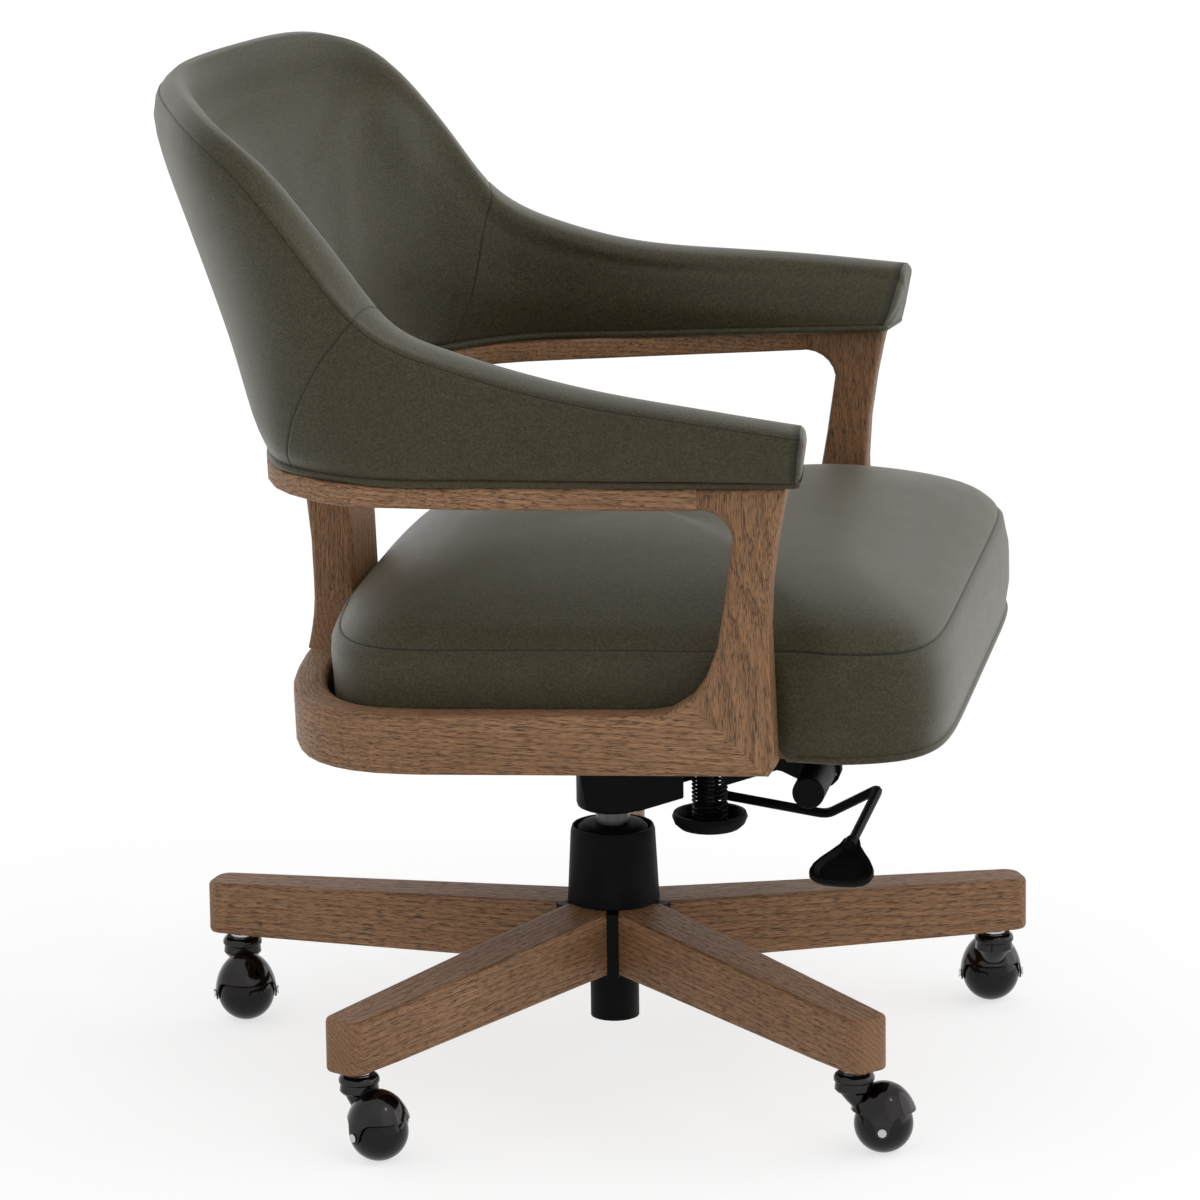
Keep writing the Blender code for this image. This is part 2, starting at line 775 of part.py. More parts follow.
def spoke_mesh():
    """One spoke along +X: a blunt nose in the hub, rounded at its tip, flat under the caster."""
    tip_half = SPOKE_TIP_WIDTH / 2.0
    hub_half = SPOKE_HUB_WIDTH / 2.0
    corner = SPOKE_TIP_CORNER
    pad = SPOKE_REACH - SPOKE_PAD_LENGTH
    taper = (hub_half - tip_half) / (SPOKE_REACH - SPOKE_SHOULDER)
    half_at_pad = tip_half + taper * SPOKE_PAD_LENGTH
    outline = [(SPOKE_NOSE, -SPOKE_NOSE_HALF), (SPOKE_SHOULDER, -hub_half), (pad, -half_at_pad)]
    outline += arc((SPOKE_REACH - corner, -tip_half + corner), corner, -86.0, 0.0, 4)
    outline += arc((SPOKE_REACH - corner, tip_half - corner), corner, 0.0, 86.0, 4)
    outline += [(pad, half_at_pad), (SPOKE_SHOULDER, hub_half), (SPOKE_NOSE, SPOKE_NOSE_HALF)]

    bm = bmesh.new()
    upper = []
    lower = []
    for x, y in outline:
        upper.append(bm.verts.new((x, y, spoke_top(x))))
        lower.append(bm.verts.new((x, y, spoke_bottom(min(x, pad)))))
    count = len(outline)
    for step in range(count):
        after = (step + 1) % count
        bm.faces.new((lower[step], lower[after], upper[after], upper[step]))
    bm.faces.new(upper)
    bm.faces.new(lower[:3] + lower[-3:])
    bm.faces.new(lower[2:-2])
    square_joints(bm, 40.0, lambda middle, normal: middle.x < SPOKE_SHOULDER - 0.001 and abs(normal.z) < 0.5)
    return mesh_of(bm, "spoke")


def hub_outline():
    """The hub from above: flats behind the spokes' noses and ribs between their shoulders."""
    nose = Vector((SPOKE_NOSE, SPOKE_NOSE_HALF))
    shoulder = Vector((SPOKE_SHOULDER, SPOKE_HUB_WIDTH / 2.0))
    run = (shoulder - nose).normalized()
    clear = Vector((-run.y, run.x)) * TOUCH
    rib = shoulder + clear
    valley = nose + clear
    valley -= run * ((TOUCH + clear.x) / run.x)
    outline = []
    for index in range(SPOKES):
        turn = Matrix.Rotation(math.radians(SPOKE_AIM + 360.0 / SPOKES * index), 2)
        for point in ((rib.x, -rib.y), (valley.x, -valley.y), (valley.x, valley.y), (rib.x, rib.y)):
            outline.append(tuple(turn @ Vector(point)))
    return outline


def build_base():
    spoke = spoke_mesh()
    bore_top = CASTER_HEIGHT + STEM_LENGTH + TOUCH
    bore_radius = STEM_RADIUS + TOUCH
    bore = turned(((0.0, CASTER_HEIGHT - 0.02), (bore_radius, CASTER_HEIGHT - 0.02),
                   (bore_radius, bore_top), (0.0, bore_top)), 12)
    bore.transform(Matrix.Translation((CASTER_RADIUS, 0.0, 0.0)))
    bore_mesh = mesh_of(bore, "stem_bore")
    for index in range(SPOKES):
        turn = math.radians(SPOKE_AIM + 360.0 / SPOKES * index)
        item = place(f"spoke_{index + 1}", spoke.copy(), OAK)
        item.rotation_euler = (0.0, 0.0, turn)
        bevel(item, SPOKE_EDGE)
        hole = cutter(f"stem_bore_{index + 1}", bore_mesh)
        hole.rotation_euler = item.rotation_euler
        boolean(item, hole, "DIFFERENCE")

    hub = place("hub_sleeve", mesh_of(prism(hub_outline(), SPOKE_HUB_BOTTOM - 0.002, SPOKE_HUB_TOP), "hub"),
                BLACK_STEEL)
    bore_radius = TUBE_RADIUS + TOUCH
    tube_bore = turned(((0.0, 0.0), (bore_radius, 0.0), (bore_radius, COVER_TOP), (0.0, COVER_TOP)), 24)
    boolean(hub, cutter("hub_bore", mesh_of(tube_bore, "hub_bore")), "DIFFERENCE")


# Gas lift

def build_column():
    inner = TUBE_RADIUS - TUBE_WALL
    body = (
        (LIP_BORE, TUBE_BOTTOM),
        (TUBE_RADIUS, TUBE_BOTTOM),
        (TUBE_RADIUS, TUBE_TOP),
        (inner, TUBE_TOP),
        (inner, TUBE_BOTTOM + TUBE_LIP),
        (LIP_BORE, TUBE_BOTTOM + TUBE_LIP),
    )
    place("column_tube", mesh_of(turned(body, 24), "column_tube"), BLACK_STEEL)

    foot = spoke_top(SPOKE_NOSE) + TOUCH
    cover = (
        (COVER_BOTTOM_RADIUS - COVER_WALL, foot),
        (COVER_BOTTOM_RADIUS, foot),
        (COVER_BOTTOM_RADIUS - 0.0004, foot + 0.0060),
        (COVER_TOP_RADIUS + 0.0002, COVER_TOP - 0.0040),
        (COVER_TOP_RADIUS - 0.0012, COVER_TOP),
        (COVER_TOP_RADIUS - COVER_WALL, COVER_TOP),
        (COVER_TOP_RADIUS - COVER_WALL - 0.0004, COVER_TOP - 0.0060),
    )
    place("column_cover", mesh_of(turned(cover, 24), "column_cover"), BLACK_PLASTIC)

    bore = CYLINDER_RADIUS + TOUCH
    shelf = TUBE_TOP + TOUCH
    bush = (
        (bore, BUSH_BOTTOM),
        (inner - TOUCH, BUSH_BOTTOM),
        (inner - TOUCH, shelf),
        (BUSH_RADIUS, shelf),
        (BUSH_RADIUS, BUSH_TOP - 0.0040),
        (BUSH_RADIUS - 0.0030, BUSH_TOP - 0.0012),
        (bore + 0.0040, BUSH_TOP),
        (bore, BUSH_TOP),
    )
    place("guide_bush", mesh_of(turned(bush, 20), "guide_bush"), BLACK_PLASTIC)

    low = TUBE_BOTTOM + TUBE_LIP + TOUCH
    high = low + THRUST_HEIGHT
    bearing = ((ROD_RADIUS + RUN, low), (THRUST_RADIUS, low), (THRUST_RADIUS, high), (ROD_RADIUS + RUN, high))
    place("thrust_bearing", mesh_of(turned(bearing, 20), "thrust_bearing"), CHROME)

    shoulder = high + RUN
    rod = (
        (0.0, TUBE_BOTTOM + 0.0005),
        (ROD_RADIUS, TUBE_BOTTOM + 0.0005),
        (ROD_RADIUS, shoulder),
        (ROD_SHOULDER_RADIUS, shoulder),
        (ROD_SHOULDER_RADIUS, shoulder + ROD_SHOULDER_THICKNESS),
        (ROD_RADIUS, shoulder + ROD_SHOULDER_THICKNESS),
        (ROD_RADIUS, ROD_TOP),
        (0.0, ROD_TOP),
    )
    place("piston_rod", mesh_of(turned(rod, 16), "piston_rod"), CHROME)

    rod_bore = ROD_RADIUS + RUN
    button_bore = BUTTON_RADIUS + RUN
    bore_end = CYLINDER_TOP - BUTTON_LENGTH + BUTTON_STAND - 0.004
    cylinder = (
        (rod_bore, CYLINDER_BOTTOM),
        (CYLINDER_RADIUS, CYLINDER_BOTTOM),
        (CYLINDER_RADIUS, CYLINDER_TOP - 0.0015),
        (CYLINDER_RADIUS - 0.0015, CYLINDER_TOP),
        (button_bore, CYLINDER_TOP),
        (button_bore, bore_end),
        (0.0, bore_end),
        (0.0, ROD_TOP + 0.006),
        (rod_bore, ROD_TOP + 0.006),
    )
    place("gas_cylinder", mesh_of(turned(cylinder, 24), "gas_cylinder"), CHROME)

    button_top = CYLINDER_TOP + BUTTON_STAND
    button = ((0.0, button_top - BUTTON_LENGTH), (BUTTON_RADIUS, button_top - BUTTON_LENGTH),
              (BUTTON_RADIUS, button_top), (0.0, button_top))
    place("release_button", mesh_of(turned(button, 12), "release_button"), BLACK_PLASTIC)


# Tilt control

def cross_bar(radius, half, y, z, segments=20):
    """A round bar along X."""
    bm = turned(((0.0, -half), (radius, -half), (radius, half), (0.0, half)), segments)
    bm.transform(Matrix.Translation((0.0, y, z)) @ Matrix.Rotation(math.radians(90.0), 4, "Y"))
    return bm


def build_housing():
    """The casting on the gas cylinder: a boss, and two cheeks that rise to the pivot in front."""
    boss = (
        (CYLINDER_RADIUS + TOUCH, BOSS_BOTTOM),
        (BOSS_RADIUS - 0.0045, BOSS_BOTTOM),
        (BOSS_RADIUS - 0.0012, BOSS_BOTTOM + 0.0018),
        (BOSS_RADIUS, BOSS_BOTTOM + 0.0060),
        (BOSS_RADIUS, BOSS_TOP),
        (CYLINDER_RADIUS + TOUCH, BOSS_TOP),
    )
    item = place("tilt_housing", mesh_of(turned(boss, 20), "tilt_housing"), BLACK_STEEL)
    outline = [*CHEEK_BELOW, *reversed(arc((PIVOT_Y, PIVOT_Z), LUG_RADIUS, 70.0, 312.0, 10)), *CHEEK_ABOVE]
    for side in (-1.0, 1.0):
        near = side * (CHEEK_HALF - CHEEK_WALL)
        far = side * CHEEK_HALF
        cheek = prism(outline, min(near, far), max(near, far), "X")
        boolean(item, cutter(f"cheek_{side:+.0f}", mesh_of(cheek, "cheek")), "UNION")
    bridge_front = PIVOT_Y + LUG_RADIUS + 0.010
    bridge = box((-CHEEK_HALF + 0.001, bridge_front, 0.2580),
                 (CHEEK_HALF - 0.001, bridge_front + ARM_BRIDGE_LENGTH, 0.2760))
    boolean(item, cutter("cheek_bridge", mesh_of(bridge, "bridge")), "UNION")
    wide = CHEEK_HALF + 0.01
    notch = SPRING_OUTER + 0.0020
    gap = box((-wide, BOLT_Y - notch, 0.19), (wide, BOLT_Y + notch, 0.2520))
    boolean(item, cutter("spring_notch", mesh_of(gap, "notch")), "DIFFERENCE")
    for label, radius, y, z in (
        ("pivot_bore", CROSS_TUBE_RADIUS + RUN, PIVOT_Y, PIVOT_Z),
        ("anchor_bore", ANCHOR_RADIUS + TOUCH, BOLT_Y, ANCHOR_Z),
        ("lever_bore", LEVER_PIN_RADIUS + TOUCH, LEVER_PIN_Y, LEVER_PIN_Z),
    ):
        boolean(item, cutter(label, mesh_of(cross_bar(radius, wide, y, z), label)), "DIFFERENCE")


def eye_bolt():
    """The bolt hangs from an eye round the anchor pin."""
    bore = ANCHOR_RADIUS + RUN
    eye = turned(((bore, -EYE_HALF), (EYE_RADIUS, -EYE_HALF), (EYE_RADIUS, EYE_HALF), (bore, EYE_HALF)), 20)
    eye.transform(Matrix.Translation((0.0, BOLT_Y, ANCHOR_Z)) @ Matrix.Rotation(math.radians(90.0), 4, "Y"))
    item = place("tension_bolt", mesh_of(eye, "tension_bolt"), CHROME)
    top = ANCHOR_Z - (bore + EYE_RADIUS) / 2.0
    shank = turned(((0.0, BOLT_BOTTOM), (BOLT_RADIUS, BOLT_BOTTOM), (BOLT_RADIUS, top), (0.0, top)), 12)
    shank.transform(Matrix.Translation((0.0, BOLT_Y, 0.0)))
    boolean(item, cutter("bolt_shank", mesh_of(shank, "shank")), "UNION")


def spring_route(bottom, top):
    """A helix whose ends stand straight for one wire thickness on the seats above and below."""
    radius = SPRING_OUTER - SPRING_WIRE / 2.0
    low = bottom + SPRING_WIRE
    high = top - SPRING_WIRE
    steps = SPRING_TURNS * POINTS_PER_TURN
    route = [Vector((radius, BOLT_Y, bottom))]
    for step in range(steps + 1):
        turn = math.tau * step / POINTS_PER_TURN
        height = low + (high - low) * step / steps
        route.append(Vector((radius * math.cos(turn), BOLT_Y + radius * math.sin(turn), height)))
    route.append(Vector((radius, BOLT_Y, top)))
    return route


def least_gap(route, skip, thickness):
    """The least distance between stretches of a tube that lie at least a number of points apart."""
    least = math.inf
    for index, point in enumerate(route):
        for other in route[index + skip:]:
            least = min(least, (other - point).length)
    return least - thickness


def build_spring():
    route = spring_route(KNOB_BOTTOM + KNOB_FLOOR + TOUCH, SPRING_SEAT - TOUCH)
    tube("tension_spring", route, SPRING_WIRE / 2.0, BLACK_STEEL, None)
    gap = least_gap(route[1:-1], POINTS_PER_TURN - 1, SPRING_WIRE)
    print(f"tension_spring: least gap between curls {gap * 1000.0:.2f} mm")


def build_knob():
    floor = KNOB_BOTTOM + KNOB_FLOOR
    bore = BOLT_RADIUS + RUN
    dish = (
        (bore, KNOB_BOTTOM),
        (KNOB_FOOT_RADIUS, KNOB_BOTTOM),
        (KNOB_RADIUS - 0.0062, KNOB_BOTTOM + 0.0016),
        (KNOB_RADIUS - 0.0020, KNOB_BOTTOM + 0.0054),
        (KNOB_RADIUS, KNOB_TOP - 0.0034),
        (KNOB_RADIUS - 0.0012, KNOB_TOP),
        (KNOB_RADIUS - KNOB_WALL, KNOB_TOP),
        (KNOB_RADIUS - KNOB_WALL - 0.0040, floor + 0.0030),
        (KNOB_FOOT_RADIUS - 0.0040, floor),
        (bore, floor),
    )
    item = place("tension_knob", mesh_of(turned(dish, 26), "tension_knob"), BLACK_PLASTIC)
    item.location = (0.0, BOLT_Y, 0.0)


def build_lever():
    pivot = Vector((0.0, LEVER_PIN_Y, LEVER_PIN_Z))
    reach = CHEEK_HALF
    place("lever_pin", mesh_of(cross_bar(LEVER_PIN_RADIUS, reach, LEVER_PIN_Y, LEVER_PIN_Z, 12), "lever_pin"),
          CHROME)
    place("anchor_pin", mesh_of(cross_bar(ANCHOR_RADIUS, reach, BOLT_Y, ANCHOR_Z, 14), "anchor_pin"), CHROME)

    holder = empty("lever", pivot)
    ledge = CYLINDER_TOP + BUTTON_STAND + TOUCH
    outline = (
        (ROCKER_FRONT, ROCKER_BOTTOM),
        (ROCKER_STEP, ROCKER_BOTTOM),
        (ROCKER_STEP, ledge),
        (ROCKER_BACK, ledge),
        (ROCKER_BACK, ROCKER_TOP - 0.002),
        (ROCKER_BACK - 0.002, ROCKER_TOP),
        (ROCKER_FRONT + 0.003, ROCKER_TOP),
        (ROCKER_FRONT, ROCKER_TOP - 0.003),
    )
    bm = prism(outline, -ROCKER_HALF, ROCKER_SIDE, "X")
    bm.transform(Matrix.Translation(-pivot))
    item = place("lever_rocker", mesh_of(bm, "lever_rocker"), BLACK_PLASTIC, holder)
    pin_bore = cross_bar(LEVER_PIN_RADIUS + RUN, reach, 0.0, 0.0, 12)
    boolean(item, cutter("rocker_pin_bore", mesh_of(pin_bore, "pin_bore"), holder), "DIFFERENCE")
    plug = turned(((0.0, -0.01), (LEVER_WIRE_RADIUS + TOUCH, -0.01),
                   (LEVER_WIRE_RADIUS + TOUCH, WIRE_PLUG + TOUCH), (0.0, WIRE_PLUG + TOUCH)), 12)
    plug.transform(Matrix.Translation(Vector((LEVER_WIRE_X, ROCKER_FRONT, WIRE_Z)) - pivot)
                   @ Matrix.Rotation(math.radians(-90.0), 4, "X"))
    boolean(item, cutter("rocker_wire_bore", mesh_of(plug, "wire_bore"), holder), "DIFFERENCE")

    apex = Vector(PADDLE_APEX)
    corner = Vector(CORNER)
    run = (apex - corner).normalized()
    corners = (
        (LEVER_WIRE_X, ROCKER_FRONT + WIRE_PLUG, WIRE_Z),
        (LEVER_WIRE_X, ROCKER_FRONT - 0.0080, WIRE_Z),
        (LEVER_WIRE_X, BOLT_Y - 0.0060, LOW_BEND[2] + 0.0075),
        LOW_BEND,
        CORNER,
        tuple(apex + run * 0.010),
    )
    route = [point - pivot for point in rounded_route(corners, 0.0075, 4)]
    tube("lever_wire", route, LEVER_WIRE_RADIUS, BLACK_STEEL, holder, 2)
    build_paddle(holder, pivot, apex, run)


def build_paddle(holder, pivot, apex, run):
    """A fan-shaped finger plate, dished on top, that takes the end of the wire."""
    across = Vector((0.0, -1.0, 0.0))
    across = (across - run * across.dot(run)).normalized()
    along_plate = Matrix.Rotation(math.radians(PADDLE_DROOP), 3, across) @ run
    up = along_plate.cross(across).normalized()
    if up.z < 0.0:
        up = -up
    near_edge = [(PADDLE_LENGTH * along, -PADDLE_HALF_WIDTH * side) for along, side in PADDLE_EDGE]
    outline = near_edge + [(along, -side) for along, side in reversed(near_edge)]
    middle = PADDLE_LENGTH * 0.60
    rings = []
    for scale, height in ((0.93, -0.5), (1.0, 0.0), (0.97, 0.5)):
        ring = []
        for along, side in outline:
            along = middle + (along - middle) * scale
            ring.append(apex + along_plate * along + across * (side * scale) + up * (height * PADDLE_THICKNESS))
        rings.append(ring)
    for scale, height in ((0.84, 0.5), (0.70, 0.5)):
        depth = PADDLE_DISH if scale < 0.8 else 0.0
        ring = []
        for along, side in outline:
            along = middle + (along - middle) * scale
            ring.append(apex + along_plate * along + across * (side * scale)
                        + up * (height * PADDLE_THICKNESS - depth))
        rings.append(ring)
    bm = loft([[point - pivot for point in ring] for ring in rings])
    item = place("lever_paddle", mesh_of(bm, "lever_paddle"), BLACK_PLASTIC, holder)
    bore = turned(((0.0, -0.02), (LEVER_WIRE_RADIUS + TOUCH, -0.02),
                   (LEVER_WIRE_RADIUS + TOUCH, 0.010 + TOUCH), (0.0, 0.010 + TOUCH)), 16)
    sleeve = turned(((0.0, 0.001), (LEVER_WIRE_RADIUS + 0.0018, 0.001),
                     (LEVER_WIRE_RADIUS + 0.0018, 0.0115), (0.0, 0.0115)), 16)
    turn = run.to_track_quat("Z", "Y").to_matrix().to_4x4()
    where = Matrix.Translation(apex - pivot) @ turn
    sleeve.transform(where)
    bore.transform(where)
    boolean(item, cutter("paddle_sleeve", mesh_of(sleeve, "sleeve"), holder), "UNION")
    boolean(item, cutter("paddle_bore", mesh_of(bore, "paddle_bore"), holder), "DIFFERENCE")


# Seat frame

def rake_matrix():
    """From the level drawing of the seat frame to its place in the chair."""
    centre = Matrix.Translation(RAKE_CENTRE)
    turn = Matrix.Rotation(math.radians(-RAKE), 4, "X")
    return centre @ turn @ centre.inverted()


def seat_pivot():
    """The cross tube's axis in the level drawing."""
    return rake_matrix().inverted() @ Vector((0.0, PIVOT_Y, PIVOT_Z))


def seat_piece(name, bm, material, holder, sharp=35.0):
    bm.transform(Matrix.Translation(-seat_pivot()))
    return place(name, mesh_of(bm, name, sharp), material, holder)


def seat_cutter(name, bm, holder):
    bm.transform(Matrix.Translation(-seat_pivot()))
    return cutter(name, mesh_of(bm, name), holder)


def build_seat_plate(holder):
    """A pressed plate under the board, with flanges round the cross tube and a yoke over the spring."""
    pivot = seat_pivot()
    bottom = SEAT_PLATE_TOP - SEAT_PLATE_THICKNESS
    plate = box((-SEAT_PLATE_HALF, SEAT_PLATE_FRONT, bottom), (SEAT_PLATE_HALF, SEAT_PLATE_BACK, SEAT_PLATE_TOP))
    item = seat_piece("seat_plate", plate, BLACK_STEEL, holder)
    bevel(item, 0.0008, 1)
    for side in (-1.0, 1.0):
        near = side * FLANGE_INNER
        far = side * (FLANGE_INNER + FLANGE_WALL)
        outline = [(0.020, bottom + 0.001), (0.018, 0.3000), (-0.120, 0.2560), (-0.1450, 0.2440)]
        outline += reversed(arc((pivot.y, pivot.z), LUG_RADIUS, 130.0, 300.0, 8))
        outline += [(-0.2020, 0.2850), (-0.2060, bottom + 0.001)]
        flange = prism(outline, min(near, far), max(near, far), "X")
        boolean(item, seat_cutter(f"flange_{side:+.0f}", flange, holder), "UNION")
    level = rake_matrix().inverted() @ Vector((0.0, BOLT_Y, SPRING_SEAT))
    pad_top = level.z + YOKE_WALL
    pad = box((-YOKE_HALF, level.y - YOKE_REACH - YOKE_WALL, level.z),
              (YOKE_HALF, level.y + YOKE_REACH + YOKE_WALL, pad_top))
    boolean(item, seat_cutter("yoke_pad", pad, holder), "UNION")
    for side in (-1.0, 1.0):
        near = level.y + side * YOKE_REACH
        far = level.y + side * (YOKE_REACH + YOKE_WALL)
        strap = box((-YOKE_HALF + 0.001, min(near, far), level.z + 0.001),
                    (YOKE_HALF - 0.001, max(near, far), bottom + 0.001))
        boolean(item, seat_cutter(f"yoke_strap_{side:+.0f}", strap, holder), "UNION")
    slot = box((-BOLT_RADIUS - 0.001, level.y - 0.0105, level.z - 0.01),
               (BOLT_RADIUS + 0.001, level.y + 0.0105, pad_top + 0.005))
    boolean(item, seat_cutter("yoke_slot", slot, holder), "DIFFERENCE")
    bore = cross_bar(CROSS_TUBE_RADIUS + TOUCH, SEAT_PLATE_HALF, pivot.y, pivot.z, 24)
    boolean(item, seat_cutter("flange_bore", bore, holder), "DIFFERENCE")

    bar = cross_bar(CROSS_TUBE_RADIUS, CROSS_TUBE_HALF, pivot.y, pivot.z, 24)
    tube_item = seat_piece("cross_tube", bar, BLACK_STEEL, holder)
    bevel(tube_item, 0.0010, 1)


def rail_outer(steps=24):
    return barrel_curve(RAIL_HALF, RAIL_SHOULDER, RAIL_REAR, RAIL_POWER, steps)


def build_seat_board(holder):
    low = SEAT_PLATE_TOP + TOUCH
    outline = board_outline(TOUCH)
    seat_piece("seat_board", prism(outline, low, low + BOARD_THICKNESS), PLYWOOD, holder)


def board_outline(play):
    """The board between the posts and inside the rails, from above, with its play."""
    behind = inset(rail_outer(), RAIL_WIDTH + play)
    half = RAIL_HALF - POST_THICKNESS - play
    narrow = half - BOARD_SIDE_INSET
    step = POST_FRONT + POST_WIDTH
    front = []
    steps = 16
    reach = CUSHION_FRONT + BOARD_FRONT_INSET - TOUCH + play
    for index in range(steps + 1):
        turn = math.pi * index / steps
        x = narrow * signed_power(math.cos(turn), 2.0 / FRONT_CORNER_POWER)
        y = POST_FRONT + (reach - POST_FRONT) * signed_power(math.sin(turn), 2.0 / 3.0)
        front.append((x, y))
    return behind + [(half, step)] + front + [(-half, step)]


def outward(y, z):
    """How far a side of the frame opens outward towards the front and towards the arms."""
    flare = RAIL_FLARE * max(RAIL_SHOULDER - y, 0.0)
    return flare + POST_LEAN * smoothstep((z - RAIL_TOP) / (ARM_RAIL_TOP - RAIL_TOP))


def post_front(z):
    """The front edge of a front post: upright below, swept forward under the arm."""
    share = max(z - 0.430, 0.0) / (ARM_RAIL_TOP - 0.430)
    return POST_FRONT + (POST_TOP_FRONT - POST_FRONT) * share ** 1.6


def leaning_plate(outline, outer, thickness, side):
    """A side plate of (y, z) points, opening outward with the frame."""
    low = min(side * outer, side * (outer - thickness))
    high = max(side * outer, side * (outer - thickness))
    bm = prism(outline, low, high, "X")
    for vert in bm.verts:
        vert.co.x += side * outward(vert.co.y, vert.co.z)
    return bm


def post_outline():
    """Front post in side view, with the mitre against the rail and the butt against the arm rail."""
    front = [(post_front(z), z) for z in (0.3200, 0.4300, 0.4650, 0.5000, 0.5250)]
    back_top = POST_TOP_FRONT + POST_WIDTH + POST_FILLET
    top = [(post_front(ARM_RAIL_TOP), ARM_RAIL_TOP), (back_top, ARM_RAIL_TOP), (back_top, ARM_RAIL_BOTTOM)]
    inner_top = POST_TOP_FRONT + POST_WIDTH
    fillet = arc((back_top, ARM_RAIL_BOTTOM - POST_FILLET), POST_FILLET, 96.0, 172.0, 5)
    inner = [(inner_top + 0.0085, 0.4550), (inner_top + 0.0165, 0.4150)]
    lower = [(inner_top + 0.0270, 0.3895), (inner_top + MITRE_HEAD[0], MITRE_HEAD[1])]
    mitre = [(POST_FRONT + MITRE_FOOT, RAIL_BOTTOM)]
    return front + top + fillet + inner + lower + mitre


def rail_outline():
    """Straight side rail in side view, with its share of the fillet under the front post."""
    inner_top = POST_TOP_FRONT + POST_WIDTH
    slip = TOUCH * 1.5
    return [
        (POST_FRONT + MITRE_FOOT + slip, RAIL_BOTTOM),
        (JOINT_Y - TOUCH, RAIL_BOTTOM),
        (JOINT_Y - TOUCH, RAIL_TOP),
        (inner_top + 0.0740, RAIL_TOP),
        (inner_top + 0.0570, RAIL_TOP + 0.0030),
        (inner_top + MITRE_HEAD[0] + slip, MITRE_HEAD[1]),
    ]


def on_mitre(middle, normal):
    """Whether a face lies on the slanted joint between a front post and its rail."""
    foot = Vector((POST_FRONT + MITRE_FOOT, RAIL_BOTTOM))
    head = Vector((POST_TOP_FRONT + POST_WIDTH + MITRE_HEAD[0], MITRE_HEAD[1]))
    along = (head - foot).normalized()
    away = Vector((middle.y, middle.z)) - foot
    return abs(normal.x) < 0.5 and abs(away.x * along.y - away.y * along.x) < 0.002


def behind_post(middle, normal):
    """Whether a face lies where a front post meets its arm rail."""
    return normal.y ** 2 > 0.8 and abs(middle.y - (POST_TOP_FRONT + POST_WIDTH + POST_FILLET)) < 0.001


def at_side_joint(middle, normal):
    """Whether a face lies where a side rail meets the bent rail behind it."""
    return normal.y ** 2 > 0.8 and abs(middle.y - JOINT_Y) < 0.001


def build_posts_and_rails(holder):
    for side, label in ((-1.0, "right"), (1.0, "left")):
        post = leaning_plate(post_outline(), RAIL_HALF, POST_THICKNESS, side)
        square_joints(post, 50.0, lambda *face: on_mitre(*face) or behind_post(*face))
        bevel(seat_piece(f"front_post_{label}", post, OAK, holder), RAIL_EDGE)
        rail = leaning_plate(rail_outline(), RAIL_HALF, RAIL_WIDTH, side)
        square_joints(rail, 50.0, lambda *face: on_mitre(*face) or at_side_joint(*face))
        bevel(seat_piece(f"lower_rail_{label}", rail, OAK, holder), RAIL_EDGE)

    ring = bent_ring(rail_outer(), RAIL_WIDTH, JOINT_Y + TOUCH)
    rail = square_joints(prism(ring, RAIL_BOTTOM, RAIL_TOP), 50.0, at_side_joint)
    bevel(seat_piece("lower_rail_back", rail, OAK, holder), RAIL_EDGE)
    build_back_post(holder)


def bent_ring(curve, width, start):
    """Plan outline of a rail bent round the back, cut square where its straight sides meet it."""
    kept = [point for point in curve if point[1] > start + 0.004]
    half = abs(curve[0][0])
    outer = [(-half, start)] + kept + [(half, start)]
    inner = inset(outer, width)
    inner[0] = (width - half, start)
    inner[-1] = (half - width, start)
    return outer + inner[::-1]


def arm_rail_rows(start, end):
    """Matching outer and inner plan points of the left arm rail between two stations."""
    steps = 2 * (end - start)
    rows = [spline(ARM_RAIL_STATIONS, start + (end - start) * step / steps) for step in range(steps + 1)]
    return [(row[0], row[1]) for row in rows], [(row[2], row[3]) for row in rows]


def build_arm_rails(holder):
    """Two side rails that butt behind the front posts, and a bent rail round the back."""
    last = len(ARM_RAIL_STATIONS) - 1
    joint = ARM_RAIL_JOINT_STATION
    post_back = POST_TOP_FRONT + POST_WIDTH + POST_FILLET
    outer, inner = arm_rail_rows(0, joint)
    outer = [(x, min(max(y, post_back + TOUCH), JOINT_Y - TOUCH)) for x, y in outer]
    inner = [(x, min(max(y, post_back + TOUCH), JOINT_Y - TOUCH)) for x, y in inner]
    for side, label in ((-1.0, "right"), (1.0, "left")):
        ring = [(side * x, y) for x, y in outer + inner[::-1]]
        rail = prism(ring, ARM_RAIL_BOTTOM, ARM_RAIL_TOP)
        square_joints(rail, 50.0, lambda *face: behind_post(*face) or at_side_joint(*face))
        bevel(seat_piece(f"arm_rail_{label}", rail, OAK, holder), ARM_RAIL_EDGE, 1)
    outer, inner = arm_rail_rows(joint, last)
    outer = [(x, max(y, JOINT_Y + TOUCH)) for x, y in outer]
    inner = [(x, max(y, JOINT_Y + TOUCH)) for x, y in inner]
    outer += [(-x, y) for x, y in outer[-2::-1]]
    inner += [(-x, y) for x, y in inner[-2::-1]]
    rail = square_joints(prism(outer + inner[::-1], ARM_RAIL_BOTTOM, ARM_RAIL_TOP), 50.0, at_side_joint)
    bevel(seat_piece("arm_rail_back", rail, OAK, holder), ARM_RAIL_EDGE, 1)


